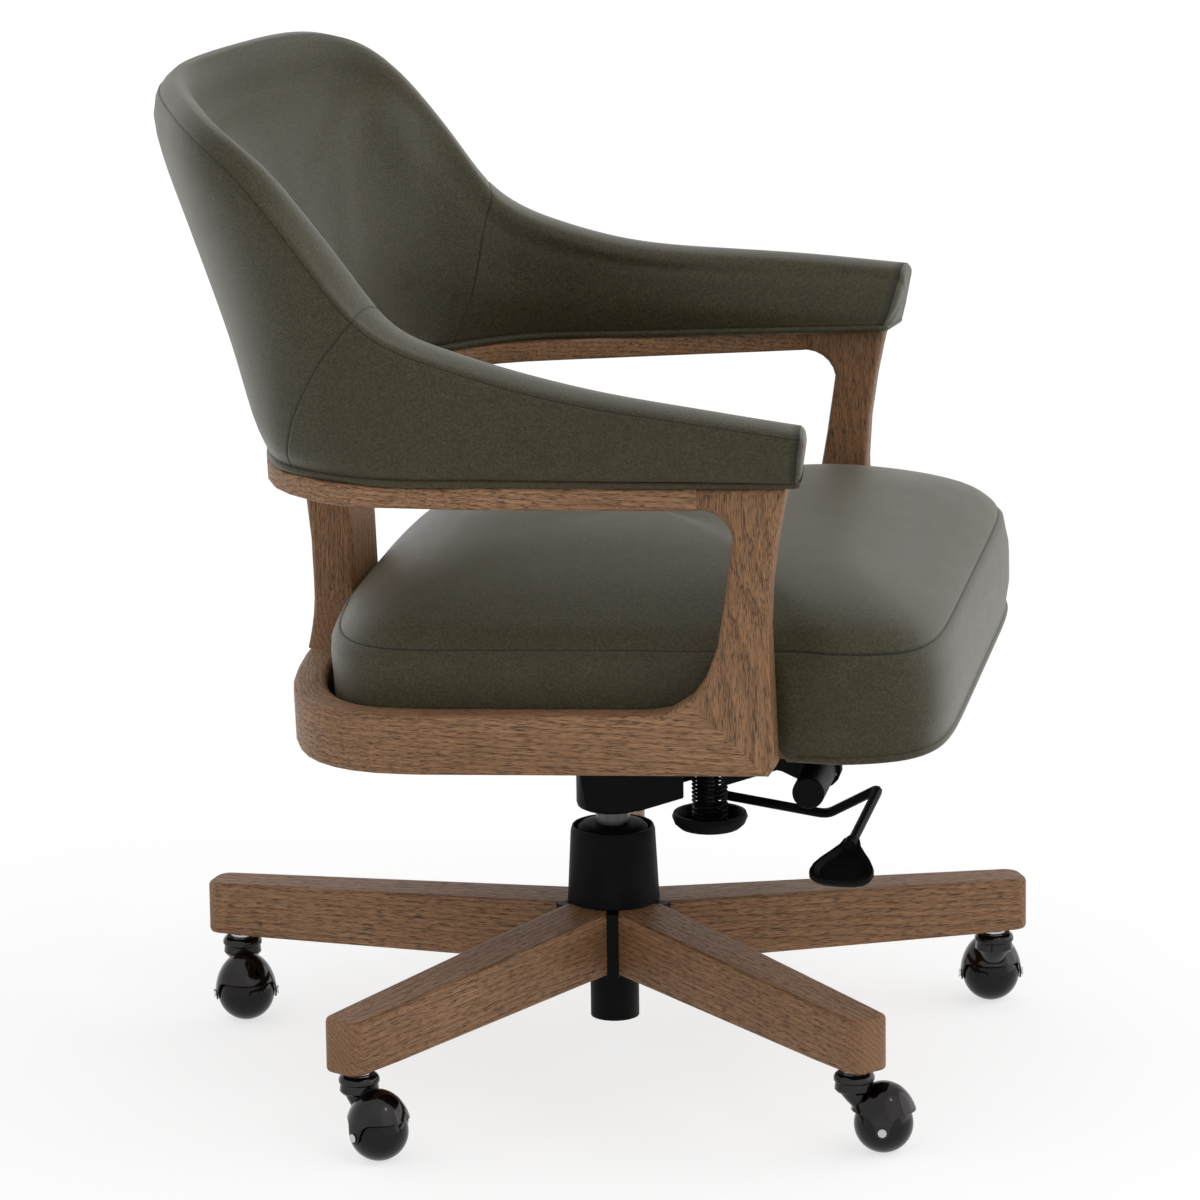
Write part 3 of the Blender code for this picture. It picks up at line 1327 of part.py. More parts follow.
def build_back_post(holder):
    """The upright behind the cushion, filleted out at its foot and head, leaning back with the pad."""
    foot = RAIL_TOP + TOUCH
    head = ARM_RAIL_BOTTOM - TOUCH
    middle = (foot + head) / 2.0
    rings = []
    for share in (0.0, 0.035, 0.08, 0.135, 0.20, 0.28, 0.50, 0.72, 0.86, 0.93, 1.0):
        z = foot + (head - foot) * share
        near_foot = max(1.0 - (z - foot) / BACK_POST_FOOT_HEIGHT, 0.0)
        near_head = max(1.0 - (head - z) / BACK_POST_HEAD_FILLET, 0.0)
        wider = BACK_POST_FOOT_SPREAD * near_foot ** 2.4 + 0.35 * BACK_POST_HEAD_FILLET * near_head ** 2.4
        back = BACK_POST_LEAN * abs(z - middle) / (head - middle)
        front_y = BACK_POST_FRONT + (back if z > middle else 0.0) * 0.9
        rear_y = BACK_POST_FRONT + BACK_POST_DEPTH + (back if z > middle else 0.0)
        half = BACK_POST_HALF + wider
        edge = BACK_POST_EDGE
        ring = []
        for x, y, first, second in (
            (-half, front_y, (0.0, edge), (edge, 0.0)),
            (half, front_y, (-edge, 0.0), (0.0, edge)),
            (half, rear_y, (0.0, -edge), (-edge, 0.0)),
            (-half, rear_y, (edge, 0.0), (0.0, -edge)),
        ):
            ring.append(Vector((x + first[0], y + first[1], z)))
            ring.append(Vector((x + second[0], y + second[1], z)))
        rings.append(ring)
    seat_piece("back_post", loft(rings), OAK, holder)


# Seat cushion

def cushion_plan():
    """The cushion from above: the rail's hollow behind, squared front corners, swollen past the posts."""
    half = RAIL_HALF - POST_THICKNESS - SOFT_GAP
    behind = barrel_curve(half, RAIL_SHOULDER, BACK_POST_FRONT - SOFT_GAP, CUSHION_REAR_POWER, 60)
    front_depth = RAIL_SHOULDER - CUSHION_FRONT
    steps = 120
    ahead = []
    for step in range(1, steps):
        turn = math.pi * step / steps
        x = half * signed_power(math.cos(turn), 2.0 / FRONT_CORNER_POWER)
        y = RAIL_SHOULDER - front_depth * signed_power(math.sin(turn), 2.0 / (FRONT_CORNER_POWER * 1.4))
        swell = CUSHION_FRONT_SWELL * smoothstep((POST_FRONT - 0.008 - y) / 0.045) + outward(y, RAIL_BOTTOM)
        ahead.append((x * (1.0 + swell / half), y))
    return resampled(behind + ahead, CUSHION_POINTS)


def build_cushion(holder):
    plan = cushion_plan()
    middle = Vector((0.0, (RAIL_REAR + CUSHION_FRONT) / 2.0))
    low = CUSHION_BOTTOM
    side_rows = (
        (low, -0.0015),
        (low + 0.0020, 0.0),
        (low + 0.0060, 0.0),
        (low + 0.0085, -0.0018),
        (low + 0.0350, CUSHION_SIDE_SWELL * 0.6),
        (low + 0.0600, CUSHION_SIDE_SWELL * 0.6),
        (CUSHION_SEAM - 0.0050, -0.0010),
        (CUSHION_SEAM, -0.0030),
    )
    rings = []
    closed = [Vector(point) for point in plan]
    count = len(closed)
    normals = []
    for index in range(count):
        run = (closed[(index + 1) % count] - closed[index - 1]).normalized()
        normals.append(Vector((run.y, -run.x)))
    if (closed[0] - middle).dot(normals[0]) < 0.0:
        normals = [-normal for normal in normals]
    for z, out in side_rows:
        ring = []
        for point, normal in zip(closed, normals):
            room = out if point.y < POST_FRONT - 0.02 else min(out, 0.0)
            moved = point + normal * room
            ring.append(Vector((moved.x, moved.y, z)))
        rings.append(ring)
    for share in (0.980, 0.945, 0.88, 0.74, 0.56, 0.36, 0.16):
        ring = []
        for point in closed:
            ahead = smoothstep((POST_FRONT + 0.060 - point.y) / 0.100)
            fall = CUSHION_FALL + (CUSHION_FRONT_FALL - CUSHION_FALL) * ahead
            rounding = CUSHION_ROUNDING + (CUSHION_FRONT_ROUNDING - CUSHION_ROUNDING) * ahead
            rise = CUSHION_CROWN * (1.0 - share ** fall) ** rounding
            moved = middle + (point - middle) * share
            ring.append(Vector((moved.x, moved.y, CUSHION_SEAM + rise)))
        rings.append(ring)
    item = seat_piece("seat_cushion", loft(rings), LEATHER, holder, 50.0)
    pocket_top = SEAT_PLATE_TOP + TOUCH + BOARD_THICKNESS + TOUCH
    pocket = prism(board_outline(-TOUCH), low - 0.02, pocket_top)
    boolean(item, seat_cutter("board_pocket", pocket, holder), "DIFFERENCE")


# Back and arms

def barrel_path():
    """The barrel's rows from the left arm round to the right one, at their distances along the middle."""
    rows = [(*row, float(index)) for index, row in enumerate(BARREL_STATIONS)]
    last = len(rows) - 1
    for index in range(1, last + 1):
        foot_x, foot_y, top_x, top_y, top_z, where = rows[last - index]
        rows.append((-foot_x, foot_y, -top_x, top_y, top_z, 2.0 * last - where))
    places = [0.0]
    for before, after in zip(rows, rows[1:]):
        first = Vector((before[0] + before[2], before[1] + before[3], 1.6 * before[4])) / 2.0
        second = Vector((after[0] + after[2], after[1] + after[3], 1.6 * after[4])) / 2.0
        places.append(places[-1] + (second - first).length)
    columns = [[row[index] for row in rows] for index in range(6)]
    return places, [(column, second_slopes(places, column)) for column in columns]


BARREL_PLACES, BARREL_CURVES = barrel_path()


def barrel_at(place_at):
    """Outer foot x and y, outer top seam x, y and z, and the station, at a distance along the barrel."""
    return [on_curve(BARREL_PLACES, values, slopes, place_at) for values, slopes in BARREL_CURVES]


def mixed(first, second, share):
    return first + (second - first) * share


def barrel_section(place_at):
    """One section across the back or an arm, as a closed ring from its outer foot over the top."""
    foot_x, foot_y, top_x, top_y, top_z, station = barrel_at(place_at)
    ahead = barrel_at(min(place_at + 0.01, BARREL_PLACES[-1]))
    behind = barrel_at(max(place_at - 0.01, 0.0))
    foot_run = Vector((ahead[0] - behind[0], ahead[1] - behind[1])).normalized()
    top_run = Vector((ahead[2] - behind[2], ahead[3] - behind[3])).normalized()
    foot_in = Vector((-foot_run.y, foot_run.x))
    top_in = Vector((-top_run.y, top_run.x))
    last = len(BARREL_STATIONS) - 1.0
    where = last - abs(station - last)
    half = 1.0 if station <= last else -1.0
    back_share = smoothstep((where - SEAM_STATION) / 3.0)
    if where <= SEAM_STATION:
        top_width = mixed(PAD_ARM_WIDTH, PAD_SEAM_WIDTH, where / SEAM_STATION)
    else:
        top_width = mixed(PAD_SEAM_WIDTH, PAD_TOP_WIDTH, back_share)

    seam_share = math.exp(-((where - SEAM_STATION) / 1.6) ** 2)
    skew = half * (PAD_SEAM_SKEW * seam_share - PAD_FRONT_SKEW * math.exp(-(where / 0.8) ** 2))
    swell = mixed(PAD_SWELL, BACK_SWELL, back_share)
    shares = [mixed(arm, back, back_share) for arm, back in zip(PAD_SWELL_SHARES, BACK_SWELL_SHARES)]

    def at(out_share, height_share, shift):
        """A point between the outer and the inner face, at a share of the height."""
        width = PAD_FOOT_WIDTH + (top_width - PAD_FOOT_WIDTH) * height_share
        inward = foot_in.lerp(top_in, height_share).normalized()
        base = Vector((foot_x, foot_y)).lerp(Vector((top_x, top_y)), height_share)
        bow = half * seam_share * PAD_SEAM_BOW * 4.0 * height_share * (1.0 - height_share) * (1.0 - out_share)
        plan = base + inward * (width * out_share + shift) + top_run * (bow - width * out_share * skew)
        return Vector((plan.x, plan.y, PAD_FOOT + (top_z - PAD_FOOT) * height_share))

    dome = Vector((0.0, 0.0, mixed(PAD_DOME, BACK_DOME, smoothstep((where - SEAM_STATION) / 4.0))))
    welt = Vector((0.0, 0.0, 2.0 * WELT_RADIUS))
    foot_outer = at(0.0, 0.0, 0.0)
    foot_inner = at(1.0, 0.0, 0.0)
    ring = [
        at(0.0, 0.0, 0.0015),
        foot_outer + welt * 0.35,
        foot_outer + welt * 0.75,
        at(0.0, 0.0, 0.0018) + welt,
        at(0.0, 0.16, -swell * shares[0]),
        at(0.0, 0.40, -swell * shares[1]),
        at(0.0, 0.70, -swell * shares[2]),
        at(0.0, 0.88, -swell * shares[3]),
        at(0.0, 1.0, 0.0),
        at(0.20, 1.0, 0.0) + dome * CROWN_SHARES[0],
        at(0.55, 1.0, 0.0) + dome * CROWN_SHARES[1],
        at(0.88, 1.0, 0.0) + dome * CROWN_SHARES[2],
        at(1.0, 1.0, 0.0) + dome * CROWN_SHARES[3],
        at(1.0, 0.72, PAD_SWELL * 0.6),
        at(1.0, 0.38, PAD_SWELL),
        foot_inner + welt * 1.2,
        at(1.0, 0.0, -0.0015),
    ]
    return ring


def barrel_piece(name, low, high, steps, mirrored, holder):
    rings = []
    for step in range(steps + 1):
        ring = barrel_section(mixed(low, high, step / steps))
        if mirrored:
            ring = [Vector((-p.x, p.y, p.z)) for p in ring]
        rings.append(ring)
    if low < 1e-6:
        middle = sum(rings[0], Vector()) / len(rings[0])
        forward = (rings[0][0] - rings[1][0]).normalized() * PAD_END_ROUNDING
        shrink = 1.0 - 2.0 * PAD_END_ROUNDING / PAD_ARM_WIDTH
        rings.insert(0, [middle + (point - middle) * shrink + forward for point in rings[0]])
    return seat_piece(name, loft(rings, True), LEATHER, holder, 50.0)


def build_barrel(holder):
    seam = BARREL_PLACES[SEAM_STATION]
    far_seam = BARREL_PLACES[-1] - seam
    barrel_piece("arm_pad_left", 0.0, seam - TOUCH, ARM_SECTIONS, False, holder)
    barrel_piece("arm_pad_right", 0.0, seam - TOUCH, ARM_SECTIONS, True, holder)
    barrel_piece("back_pad", seam + TOUCH, far_seam - TOUCH, BACK_SECTIONS, False, holder)


def build_seat_frame():
    holder = empty("seat_frame", (0.0, PIVOT_Y, PIVOT_Z), None, (math.radians(-RAKE), 0.0, 0.0))
    build_seat_plate(holder)
    build_seat_board(holder)
    build_posts_and_rails(holder)
    build_arm_rails(holder)
    build_cushion(holder)
    build_barrel(holder)


def centre_on_footprint():
    """Moves the whole chair so that its bounding box stands centred on the origin."""
    bpy.context.view_layer.update()
    graph = bpy.context.evaluated_depsgraph_get()
    corners = []
    for item in bpy.data.objects:
        if item.type in {"MESH", "CURVE"} and not item.hide_render:
            mesh = item.evaluated_get(graph).to_mesh()
            corners += [item.matrix_world @ vert.co for vert in mesh.vertices]
    shift = Vector((
        -0.5 * (min(p.x for p in corners) + max(p.x for p in corners)),
        -0.5 * (min(p.y for p in corners) + max(p.y for p in corners)),
        -min(p.z for p in corners),
    ))
    for item in bpy.data.objects:
        if item.parent is None:
            item.location += shift
    print(f"column stands at {shift.x:.5f}, {shift.y:.5f} from the footprint's centre, {shift.z:.6f} up")


def main():
    build_casters()
    build_base()
    build_column()
    build_housing()
    eye_bolt()
    build_spring()
    build_knob()
    build_lever()
    build_seat_frame()
    centre_on_footprint()


clear_scene()
main()
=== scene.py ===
# %% [markdown]
# # A desk chair in leather and oak
#
# The chair is a leather-covered barrel of back and arms on a bent oak frame, with a crowned
# cushion, a gas lift, a tilt control with a visible spring, and an oak star base on ball casters.
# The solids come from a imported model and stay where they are. This lesson gives them wood, steel
# and plastic finishes, and sews new covers for the cushion, the back and the arms.

import json
import math

import bmesh
import bpy
import numpy as np
from mathutils import Matrix, Vector

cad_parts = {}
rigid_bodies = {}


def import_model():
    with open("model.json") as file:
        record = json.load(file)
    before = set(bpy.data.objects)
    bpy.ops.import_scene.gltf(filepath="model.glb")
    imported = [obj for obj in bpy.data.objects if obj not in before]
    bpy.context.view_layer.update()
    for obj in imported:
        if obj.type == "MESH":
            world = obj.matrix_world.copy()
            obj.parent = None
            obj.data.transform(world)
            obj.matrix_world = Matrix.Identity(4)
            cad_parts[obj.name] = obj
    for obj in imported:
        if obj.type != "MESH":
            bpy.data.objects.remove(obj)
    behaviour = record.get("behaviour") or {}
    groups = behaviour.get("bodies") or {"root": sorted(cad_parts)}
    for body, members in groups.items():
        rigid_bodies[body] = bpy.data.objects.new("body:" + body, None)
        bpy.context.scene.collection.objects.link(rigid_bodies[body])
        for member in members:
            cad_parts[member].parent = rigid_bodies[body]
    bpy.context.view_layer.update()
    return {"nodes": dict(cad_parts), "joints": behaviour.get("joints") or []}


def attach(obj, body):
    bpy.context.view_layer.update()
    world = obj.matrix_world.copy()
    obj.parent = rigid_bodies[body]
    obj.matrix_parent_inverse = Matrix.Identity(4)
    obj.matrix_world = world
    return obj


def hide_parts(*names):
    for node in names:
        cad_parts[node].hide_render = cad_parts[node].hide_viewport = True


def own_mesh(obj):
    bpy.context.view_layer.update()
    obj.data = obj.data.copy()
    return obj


for leftover in list(bpy.data.objects):
    bpy.data.objects.remove(leftover, do_unlink=True)
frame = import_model()
solids = frame["nodes"]

# %% [markdown]
# The column stands a little off the middle of the chair's box, because the back leans out
# behind. The seat frame is drawn level and then raked two degrees about a point in the column.
# These two facts take any point of the level drawing to its place in the chair.

# %% Where things stand
COLUMN = Vector((-0.01622, -0.01845, 0.0))
RAKE_CENTRE = Vector((0.0, 0.0, 0.310))
RAKE = math.radians(2.0)
SEAT_PLACE = (Matrix.Translation(COLUMN) @ Matrix.Translation(RAKE_CENTRE)
              @ Matrix.Rotation(-RAKE, 4, "X") @ Matrix.Translation(-RAKE_CENTRE))


def in_seat(points):
    """Points of the level drawing, placed in the chair."""
    turn = np.array(SEAT_PLACE.to_3x3())
    return np.asarray(points, float) @ turn.T + np.array(SEAT_PLACE.translation)


print("column at", [round(v, 4) for v in COLUMN])

# %% [markdown]
# A long lens from a few metres away keeps the chair's verticals nearly parallel, as product
# photographers like it. The camera looks a little down on the sitter's right side.

# %% Camera
FOCAL_PIXELS = 6927.0
IMAGE_SIZE = 1200.0
SENSOR = 36.0
DISTANCE = 5.6067
LOOK_DOWN = math.radians(14.352)
AZIMUTH = math.radians(-80.1)
ROLL = math.radians(0.749)
AIM_HEIGHT = 0.37901
AIM_OFFSET = 9.96 * DISTANCE / FOCAL_PIXELS


def to_scene(name, data):
    item = bpy.data.objects.new(name, data)
    bpy.context.scene.collection.objects.link(item)
    return item


def assign(target, **settings):
    for key, value in settings.items():
        setattr(target, key, value)


across = Vector((math.cos(AZIMUTH), math.sin(AZIMUTH), 0.0))
ahead = Vector((-math.sin(AZIMUTH), math.cos(AZIMUTH), 0.0))
view = ahead * math.cos(LOOK_DOWN) - Vector((0.0, 0.0, math.sin(LOOK_DOWN)))
above = ahead * math.sin(LOOK_DOWN) + Vector((0.0, 0.0, math.cos(LOOK_DOWN)))
right = across * math.cos(ROLL) - above * math.sin(ROLL)
up = across * math.sin(ROLL) + above * math.cos(ROLL)
camera_data = bpy.data.cameras.new("camera")
assign(camera_data, sensor_width=SENSOR, lens=FOCAL_PIXELS * SENSOR / IMAGE_SIZE, clip_end=50.0)
camera = to_scene("camera", camera_data)
camera.matrix_world = Matrix((right, up, -view)).transposed().to_4x4()
camera.location = Vector((0.0, 0.0, AIM_HEIGHT)) - across * AIM_OFFSET - view * DISTANCE + COLUMN
bpy.context.scene.camera = camera
print("camera at", [round(v, 3) for v in camera.location], "lens", round(camera_data.lens, 1))

# %% [markdown]
# Each finish is a small network of shader nodes. A few helpers keep the networks readable: they
# feed inputs, add a node, a sum or a noise, lay one colour over another, and start a node group
# with named sockets. A group holds an effect that several finishes share, and puts out only
# colours and numbers.

# %% Helpers for shader networks


def feed(tree, inputs, **values):
    """Links or sets inputs by name, with underscores for spaces, or by number, as in i2."""
    for key, value in values.items():
        socket = inputs[int(key[1:])] if key[1:].isdigit() else inputs[key.replace("_", " ")]
        if isinstance(value, bpy.types.NodeSocket):
            tree.links.new(value, socket)
        else:
            socket.default_value = value


def add(tree, kind, settings=None, **sockets):
    """A node with its settings and its inputs."""
    made = tree.nodes.new(kind)
    assign(made, **(settings or {}))
    feed(tree, made.inputs, **sockets)
    return made


def sums(tree, operation, first, second=0.0, third=0.0):
    """One Math node's result."""
    return add(tree, "ShaderNodeMath", {"operation": operation}, i0=first, i1=second, i2=third).outputs[0]


def noise(tree, place, scale, detail=2.0, roughness=0.5):
    """A noise's value."""
    return add(tree, "ShaderNodeTexNoise", None, Vector=place, Scale=scale, Detail=detail,
               Roughness=roughness).outputs[0]


def ramp(tree, value, low, high):
    """A number spread so that low becomes 0 and high becomes 1."""
    return add(tree, "ShaderNodeMapRange", None, Value=value, From_Min=low, From_Max=high).outputs[0]


def blend(tree, share, first, second):
    """The first colour where the share is 0, the second where it is 1."""
    first, second = ((*given, 1.0) if isinstance(given, tuple) else given for given in (first, second))
    return add(tree, "ShaderNodeMix", {"data_type": "RGBA"}, i0=share, i6=first, i7=second).outputs[2]


def stain(tree, mask, most, base, colour):
    """A base colour with another laid over it where the mask is high, at most by a given share."""
    return blend(tree, sums(tree, "MULTIPLY", mask, most), base, colour)


def new_group(name, inputs, outputs):
    """An empty group and its two ends; an input is a vector, or a number with its default."""
    tree = bpy.data.node_groups.new(name, "ShaderNodeTree")
    for label, value in inputs.items():
        kind = "NodeSocketVector" if value is None else "NodeSocketFloat"
        socket = tree.interface.new_socket(name=label, in_out="INPUT", socket_type=kind)
        if value is not None:
            socket.default_value = value
    for label in outputs:
        kind = "NodeSocketColor" if label == "Colour" else "NodeSocketFloat"
        tree.interface.new_socket(name=label, in_out="OUTPUT", socket_type=kind)
    return tree, tree.nodes.new("NodeGroupInput").outputs, tree.nodes.new("NodeGroupOutput").inputs


def finish_of(name):
    """A material, its network, its shader, and the place of a point in the chair."""
    made = bpy.data.materials.new(name)
    made.use_nodes = True
    tree = made.node_tree
    return made, tree, tree.nodes["Principled BSDF"], add(tree, "ShaderNodeTexCoord").outputs["Object"]


def feed_shader(tree, shader, skin, strength, depth, **others):
    """A group's roughness and, as a bump, its height, with whatever else the finish needs."""
    bump = add(tree, "ShaderNodeBump", None, Strength=strength, Distance=depth, Height=skin.outputs["Height"])
    feed(tree, shader.inputs, Roughness=skin.outputs["Roughness"], Normal=bump.outputs[0], **others)


print("shader helpers ready")

# %% [markdown]
# Oak shows three things at once: the rings of the tree as long arches and stripes, fine fibres
# along the grain, and open pores as short dark dashes. All three are cut from one solid pattern
# whose grain runs along X, so that the end of a board shows ring ends as real wood does. Colour
# varies slowly from warm to grey, since the boards are stained and then rubbed back.

# %% Oak grain, as a group


def build_oak_grain():
    tree, given, out = new_group("oak_grain", {"Grain": None, "Ring Width": 0.0036, "Figure": 0.013},
                                 ("Colour", "Roughness", "Height"))
    grain = given["Grain"]

    def stretched(along_grain, across_grain, detail, roughness=0.5):
        scaled = add(tree, "ShaderNodeMapping", None, Vector=grain,
                     Scale=(along_grain, across_grain, across_grain))
        return noise(tree, scaled.outputs[0], 1.0, detail, roughness)

    parts = add(tree, "ShaderNodeSeparateXYZ", None, Vector=grain)
    aside = sums(tree, "ADD", parts.outputs[1], 0.085)
    below = sums(tree, "ADD", parts.outputs[2], 0.060)
    distance = sums(tree, "SQRT", sums(tree, "ADD", sums(tree, "MULTIPLY", aside, aside),
                                       sums(tree, "MULTIPLY", below, below)))
    shifted = sums(tree, "MULTIPLY_ADD", stretched(4.5, 14.0, 3.0, 0.55), given["Figure"], distance)
    rings = sums(tree, "FRACT", sums(tree, "DIVIDE", shifted, given["Ring Width"]))
    late_wood = sums(tree, "POWER", rings, 2.4)
    fibre = stretched(26.0, 760.0, 4.0, 0.62)
    pores = ramp(tree, sums(tree, "MULTIPLY_ADD", late_wood, 0.08, stretched(110.0, 2100.0, 1.0)), 0.55, 0.65)

    pale = blend(tree, ramp(tree, stretched(3.0, 9.0, 2.0), 0.35, 0.68),
                 (0.360, 0.196, 0.096), (0.262, 0.130, 0.057))
    ringed = stain(tree, late_wood, 0.42, pale, (0.130, 0.060, 0.026))
    fibred = stain(tree, ramp(tree, fibre, 0.40, 0.66), 0.58, ringed, (0.100, 0.046, 0.020))
    feed(tree, out, Colour=stain(tree, pores, 0.82, fibred, (0.034, 0.017, 0.009)),
         Roughness=sums(tree, "MULTIPLY_ADD", pores, 0.22, 0.50),
         Height=sums(tree, "MULTIPLY_ADD", pores, -0.75, sums(tree, "MULTIPLY", fibre, 0.35)))
    return tree


oak_grain = build_oak_grain()
print("oak grain:", len(oak_grain.nodes), "nodes")

# %% [markdown]
# A board's grain follows its length, so each direction of board needs its own turn of the
# pattern. The rails that are bent round the back have grain that bends with them: there the
# pattern is read along a rounded square, straight beside the seat and turning behind it.

# %% Oak finishes, one for each direction of board
BEND_CENTRE = (COLUMN.x, COLUMN.y + 0.060)
BEND_HALF = (0.290, 0.172)
BEND_POWER = 3.5
QUARTER = math.pi / 2.0
FIRST_SPOKE = 8.2
SPOKE_SLOPE = math.radians(2.0)
SPOKE_SHIFT = 0.031


def bent_grain(tree, place):
    """The place along a bent board, out from the bend's middle, and up."""
    centred = add(tree, "ShaderNodeMapping", None, Vector=place,
                  Location=(-BEND_CENTRE[0], -BEND_CENTRE[1], 0.0))
    parts = add(tree, "ShaderNodeSeparateXYZ", None, Vector=centred.outputs[0])
    aside = sums(tree, "ABSOLUTE", parts.outputs[0])
    behind = sums(tree, "MAXIMUM", parts.outputs[1], 0.0)
    powers = [sums(tree, "POWER", sums(tree, "DIVIDE", reach, half), BEND_POWER)
              for reach, half in zip((aside, behind), BEND_HALF)]
    root = sums(tree, "POWER", sums(tree, "ADD", *powers), 1.0 / BEND_POWER)
    return add(tree, "ShaderNodeCombineXYZ", None, X=sums(tree, "SUBTRACT", parts.outputs[1], aside),
               Y=sums(tree, "MULTIPLY", root, BEND_HALF[0]), Z=parts.outputs[2]).outputs[0]


def oak(name, turn=None, shift=None):
    """Oak with its grain turned and shifted, or bent round the back where no turn is given."""
    made, tree, shader, place = finish_of(name)
    if turn is None:
        grain = bent_grain(tree, place)
    else:
        grain = add(tree, "ShaderNodeMapping", {"vector_type": "TEXTURE"}, Vector=place, Rotation=turn,
                    Location=shift).outputs[0]
    wood = add(tree, "ShaderNodeGroup", {"node_tree": oak_grain}, Grain=grain)
    feed_shader(tree, shader, wood, 0.55, 0.00022, Base_Color=wood.outputs["Colour"], Specular_IOR_Level=0.34)
    return made


for number in range(5):
    oak(f"oak_spoke_{number + 1}", (0.0, SPOKE_SLOPE, math.radians(FIRST_SPOKE + 72.0 * number)),
        (COLUMN.x, COLUMN.y, SPOKE_SHIFT * number))
oak("oak_forward", (0.0, 0.0, QUARTER), (0.0, 0.3, 0.02))
oak("oak_upright", (0.0, QUARTER, 0.1), (0.11, 0.0, 0.0))
oak("oak_bent")
print("oak finishes:", [material.name for material in bpy.data.materials if material.name.startswith("oak_")])

# %% [markdown]
# The leather is a dark olive with a fine pebbled grain: small cells pressed into the surface,
# one to two millimetres wide, each a little lighter or darker than the next. It shines more
# where it is seen at a low angle. Near a seam the hide is pulled into small gathers, and the seam
# itself is a thin dark line in a shallow groove. The covers carry two numbers at every point for
# this: how near the seam is, and whether the point is on it.

# %% Leather grain, as a group


def build_leather_grain():
    tree, given, out = new_group("leather_grain", {"Place": None, "Near Seam": 0.0, "On Seam": 0.0},
                                 ("Colour", "Roughness", "Height"))
    place, near, on = given["Place"], given["Near Seam"], given["On Seam"]
    drift = add(tree, "ShaderNodeTexNoise", None, Vector=place, Scale=210.0, Detail=2.0)
    nudged = add(tree, "ShaderNodeVectorMath", {"operation": "MULTIPLY_ADD"}, i0=drift.outputs[1],
                 i1=(0.0011, 0.0011, 0.0011), i2=place).outputs[0]
    cells = add(tree, "ShaderNodeTexVoronoi", {"feature": "DISTANCE_TO_EDGE"}, Vector=nudged, Scale=720.0)
    pebbles = ramp(tree, cells.outputs["Distance"], 0.02, 0.30)
    grains = add(tree, "ShaderNodeTexVoronoi", {"feature": "F1"}, Vector=nudged, Scale=520.0)
    shade_of_grain = add(tree, "ShaderNodeSeparateColor", None, Color=grains.outputs["Color"]).outputs[0]
    mottle = noise(tree, place, 34.0, 4.0, 0.6)

    base = blend(tree, ramp(tree, noise(tree, place, 5.5, 3.0), 0.32, 0.70),
                 (0.084, 0.073, 0.036), (0.070, 0.061, 0.030))
    mottled = stain(tree, ramp(tree, mottle, 0.42, 0.75), 0.35, base, (0.110, 0.096, 0.050))
    grained = stain(tree, shade_of_grain, 0.62, mottled, (0.028, 0.024, 0.012))
    # Painted shade: the creases between the pebbles, where the bump is low, are darkened towards near-black.
    shaded_creases = blend(tree, sums(tree, "MULTIPLY_ADD", pebbles, -0.70, 0.70), grained, (0.018, 0.015, 0.008))
    rough = sums(tree, "MULTIPLY_ADD", mottle, 0.12, 0.35)
    grain = sums(tree, "MULTIPLY_ADD", noise(tree, place, 1900.0, 2.0, 0.6), 0.28, pebbles)
    gathers = sums(tree, "MULTIPLY", noise(tree, place, 95.0), sums(tree, "MULTIPLY", near, 3.4))
    feed(tree, out, Colour=stain(tree, on, 0.86, shaded_creases, (0.010, 0.010, 0.008)),
         Roughness=sums(tree, "MULTIPLY_ADD", on, 0.25, rough), Height=sums(tree, "ADD", grain, gathers))
    return tree


leather_grain = build_leather_grain()


def build_leather():
    made, tree, shader, place = finish_of("olive_leather")
    near, on = (add(tree, "ShaderNodeAttribute", {"attribute_name": name}).outputs["Fac"]
                for name in ("near_seam", "on_seam"))
    hide = add(tree, "ShaderNodeGroup", {"node_tree": leather_grain}, Place=place, Near_Seam=near, On_Seam=on)
    grazing = ramp(tree, add(tree, "ShaderNodeLayerWeight", None, Blend=0.5).outputs["Facing"], 0.40, 0.85)
    feed_shader(tree, shader, hide, 0.60, 0.00022, Base_Color=hide.outputs["Colour"],
                Specular_IOR_Level=sums(tree, "MULTIPLY_ADD", grazing, 0.30, 0.20),
                Sheen_Weight=0.08, Sheen_Roughness=0.45, Sheen_Tint=(1.0, 0.93, 0.74, 1.0))
    return made


leather = build_leather()
print("leather grain:", len(leather_grain.nodes), "nodes")

# %% [markdown]
# The mechanism is powder-coated steel and moulded plastic, both black and both slightly rough:
# powder has a fine orange peel, plastic a spark-eroded texture. One group gives that texture and
# a faint unevenness of shine, and each finish sets its own scale. The casters are plated: a dark
# chrome hood, bright chrome stems and rivets, and a glossy black ball.

# %% Black, plated and glossy finishes
# Name: clean colour, dusty colour, scale, shine, its spread, metallic, depth, strength, IOR.
PLAIN_FINISHES = {
    "black_powder_coat": ((0.0026, 0.0026, 0.0028), (0.0050, 0.0050, 0.0053), 1500.0, 0.40, 0.14,
                          0.0, 0.00004, 0.30, 1.16),
    "moulded_black": ((0.0050, 0.0050, 0.0052), (0.0085, 0.0085, 0.0088), 2200.0, 0.44, 0.14,
                      0.0, 0.00006, 0.45, 1.13),
    "gloss_black": ((0.0040, 0.0040, 0.0040), (0.0060, 0.0060, 0.0060), 60.0, 0.07, 0.05,
                    0.0, 0.00001, 0.05, 1.30),
    "plated_dark": ((0.030, 0.028, 0.028), (0.042, 0.040, 0.040), 80.0, 0.07, 0.07,
                    1.0, 0.00001, 0.05, 1.5),
    "bright_chrome": ((0.55, 0.55, 0.56), (0.47, 0.47, 0.48), 80.0, 0.10, 0.10,
                      1.0, 0.00001, 0.05, 1.5),
    "lift_chrome": ((0.080, 0.078, 0.078), (0.11, 0.108, 0.108), 300.0, 0.22, 0.10,
                    1.0, 0.00002, 0.10, 1.5),
}


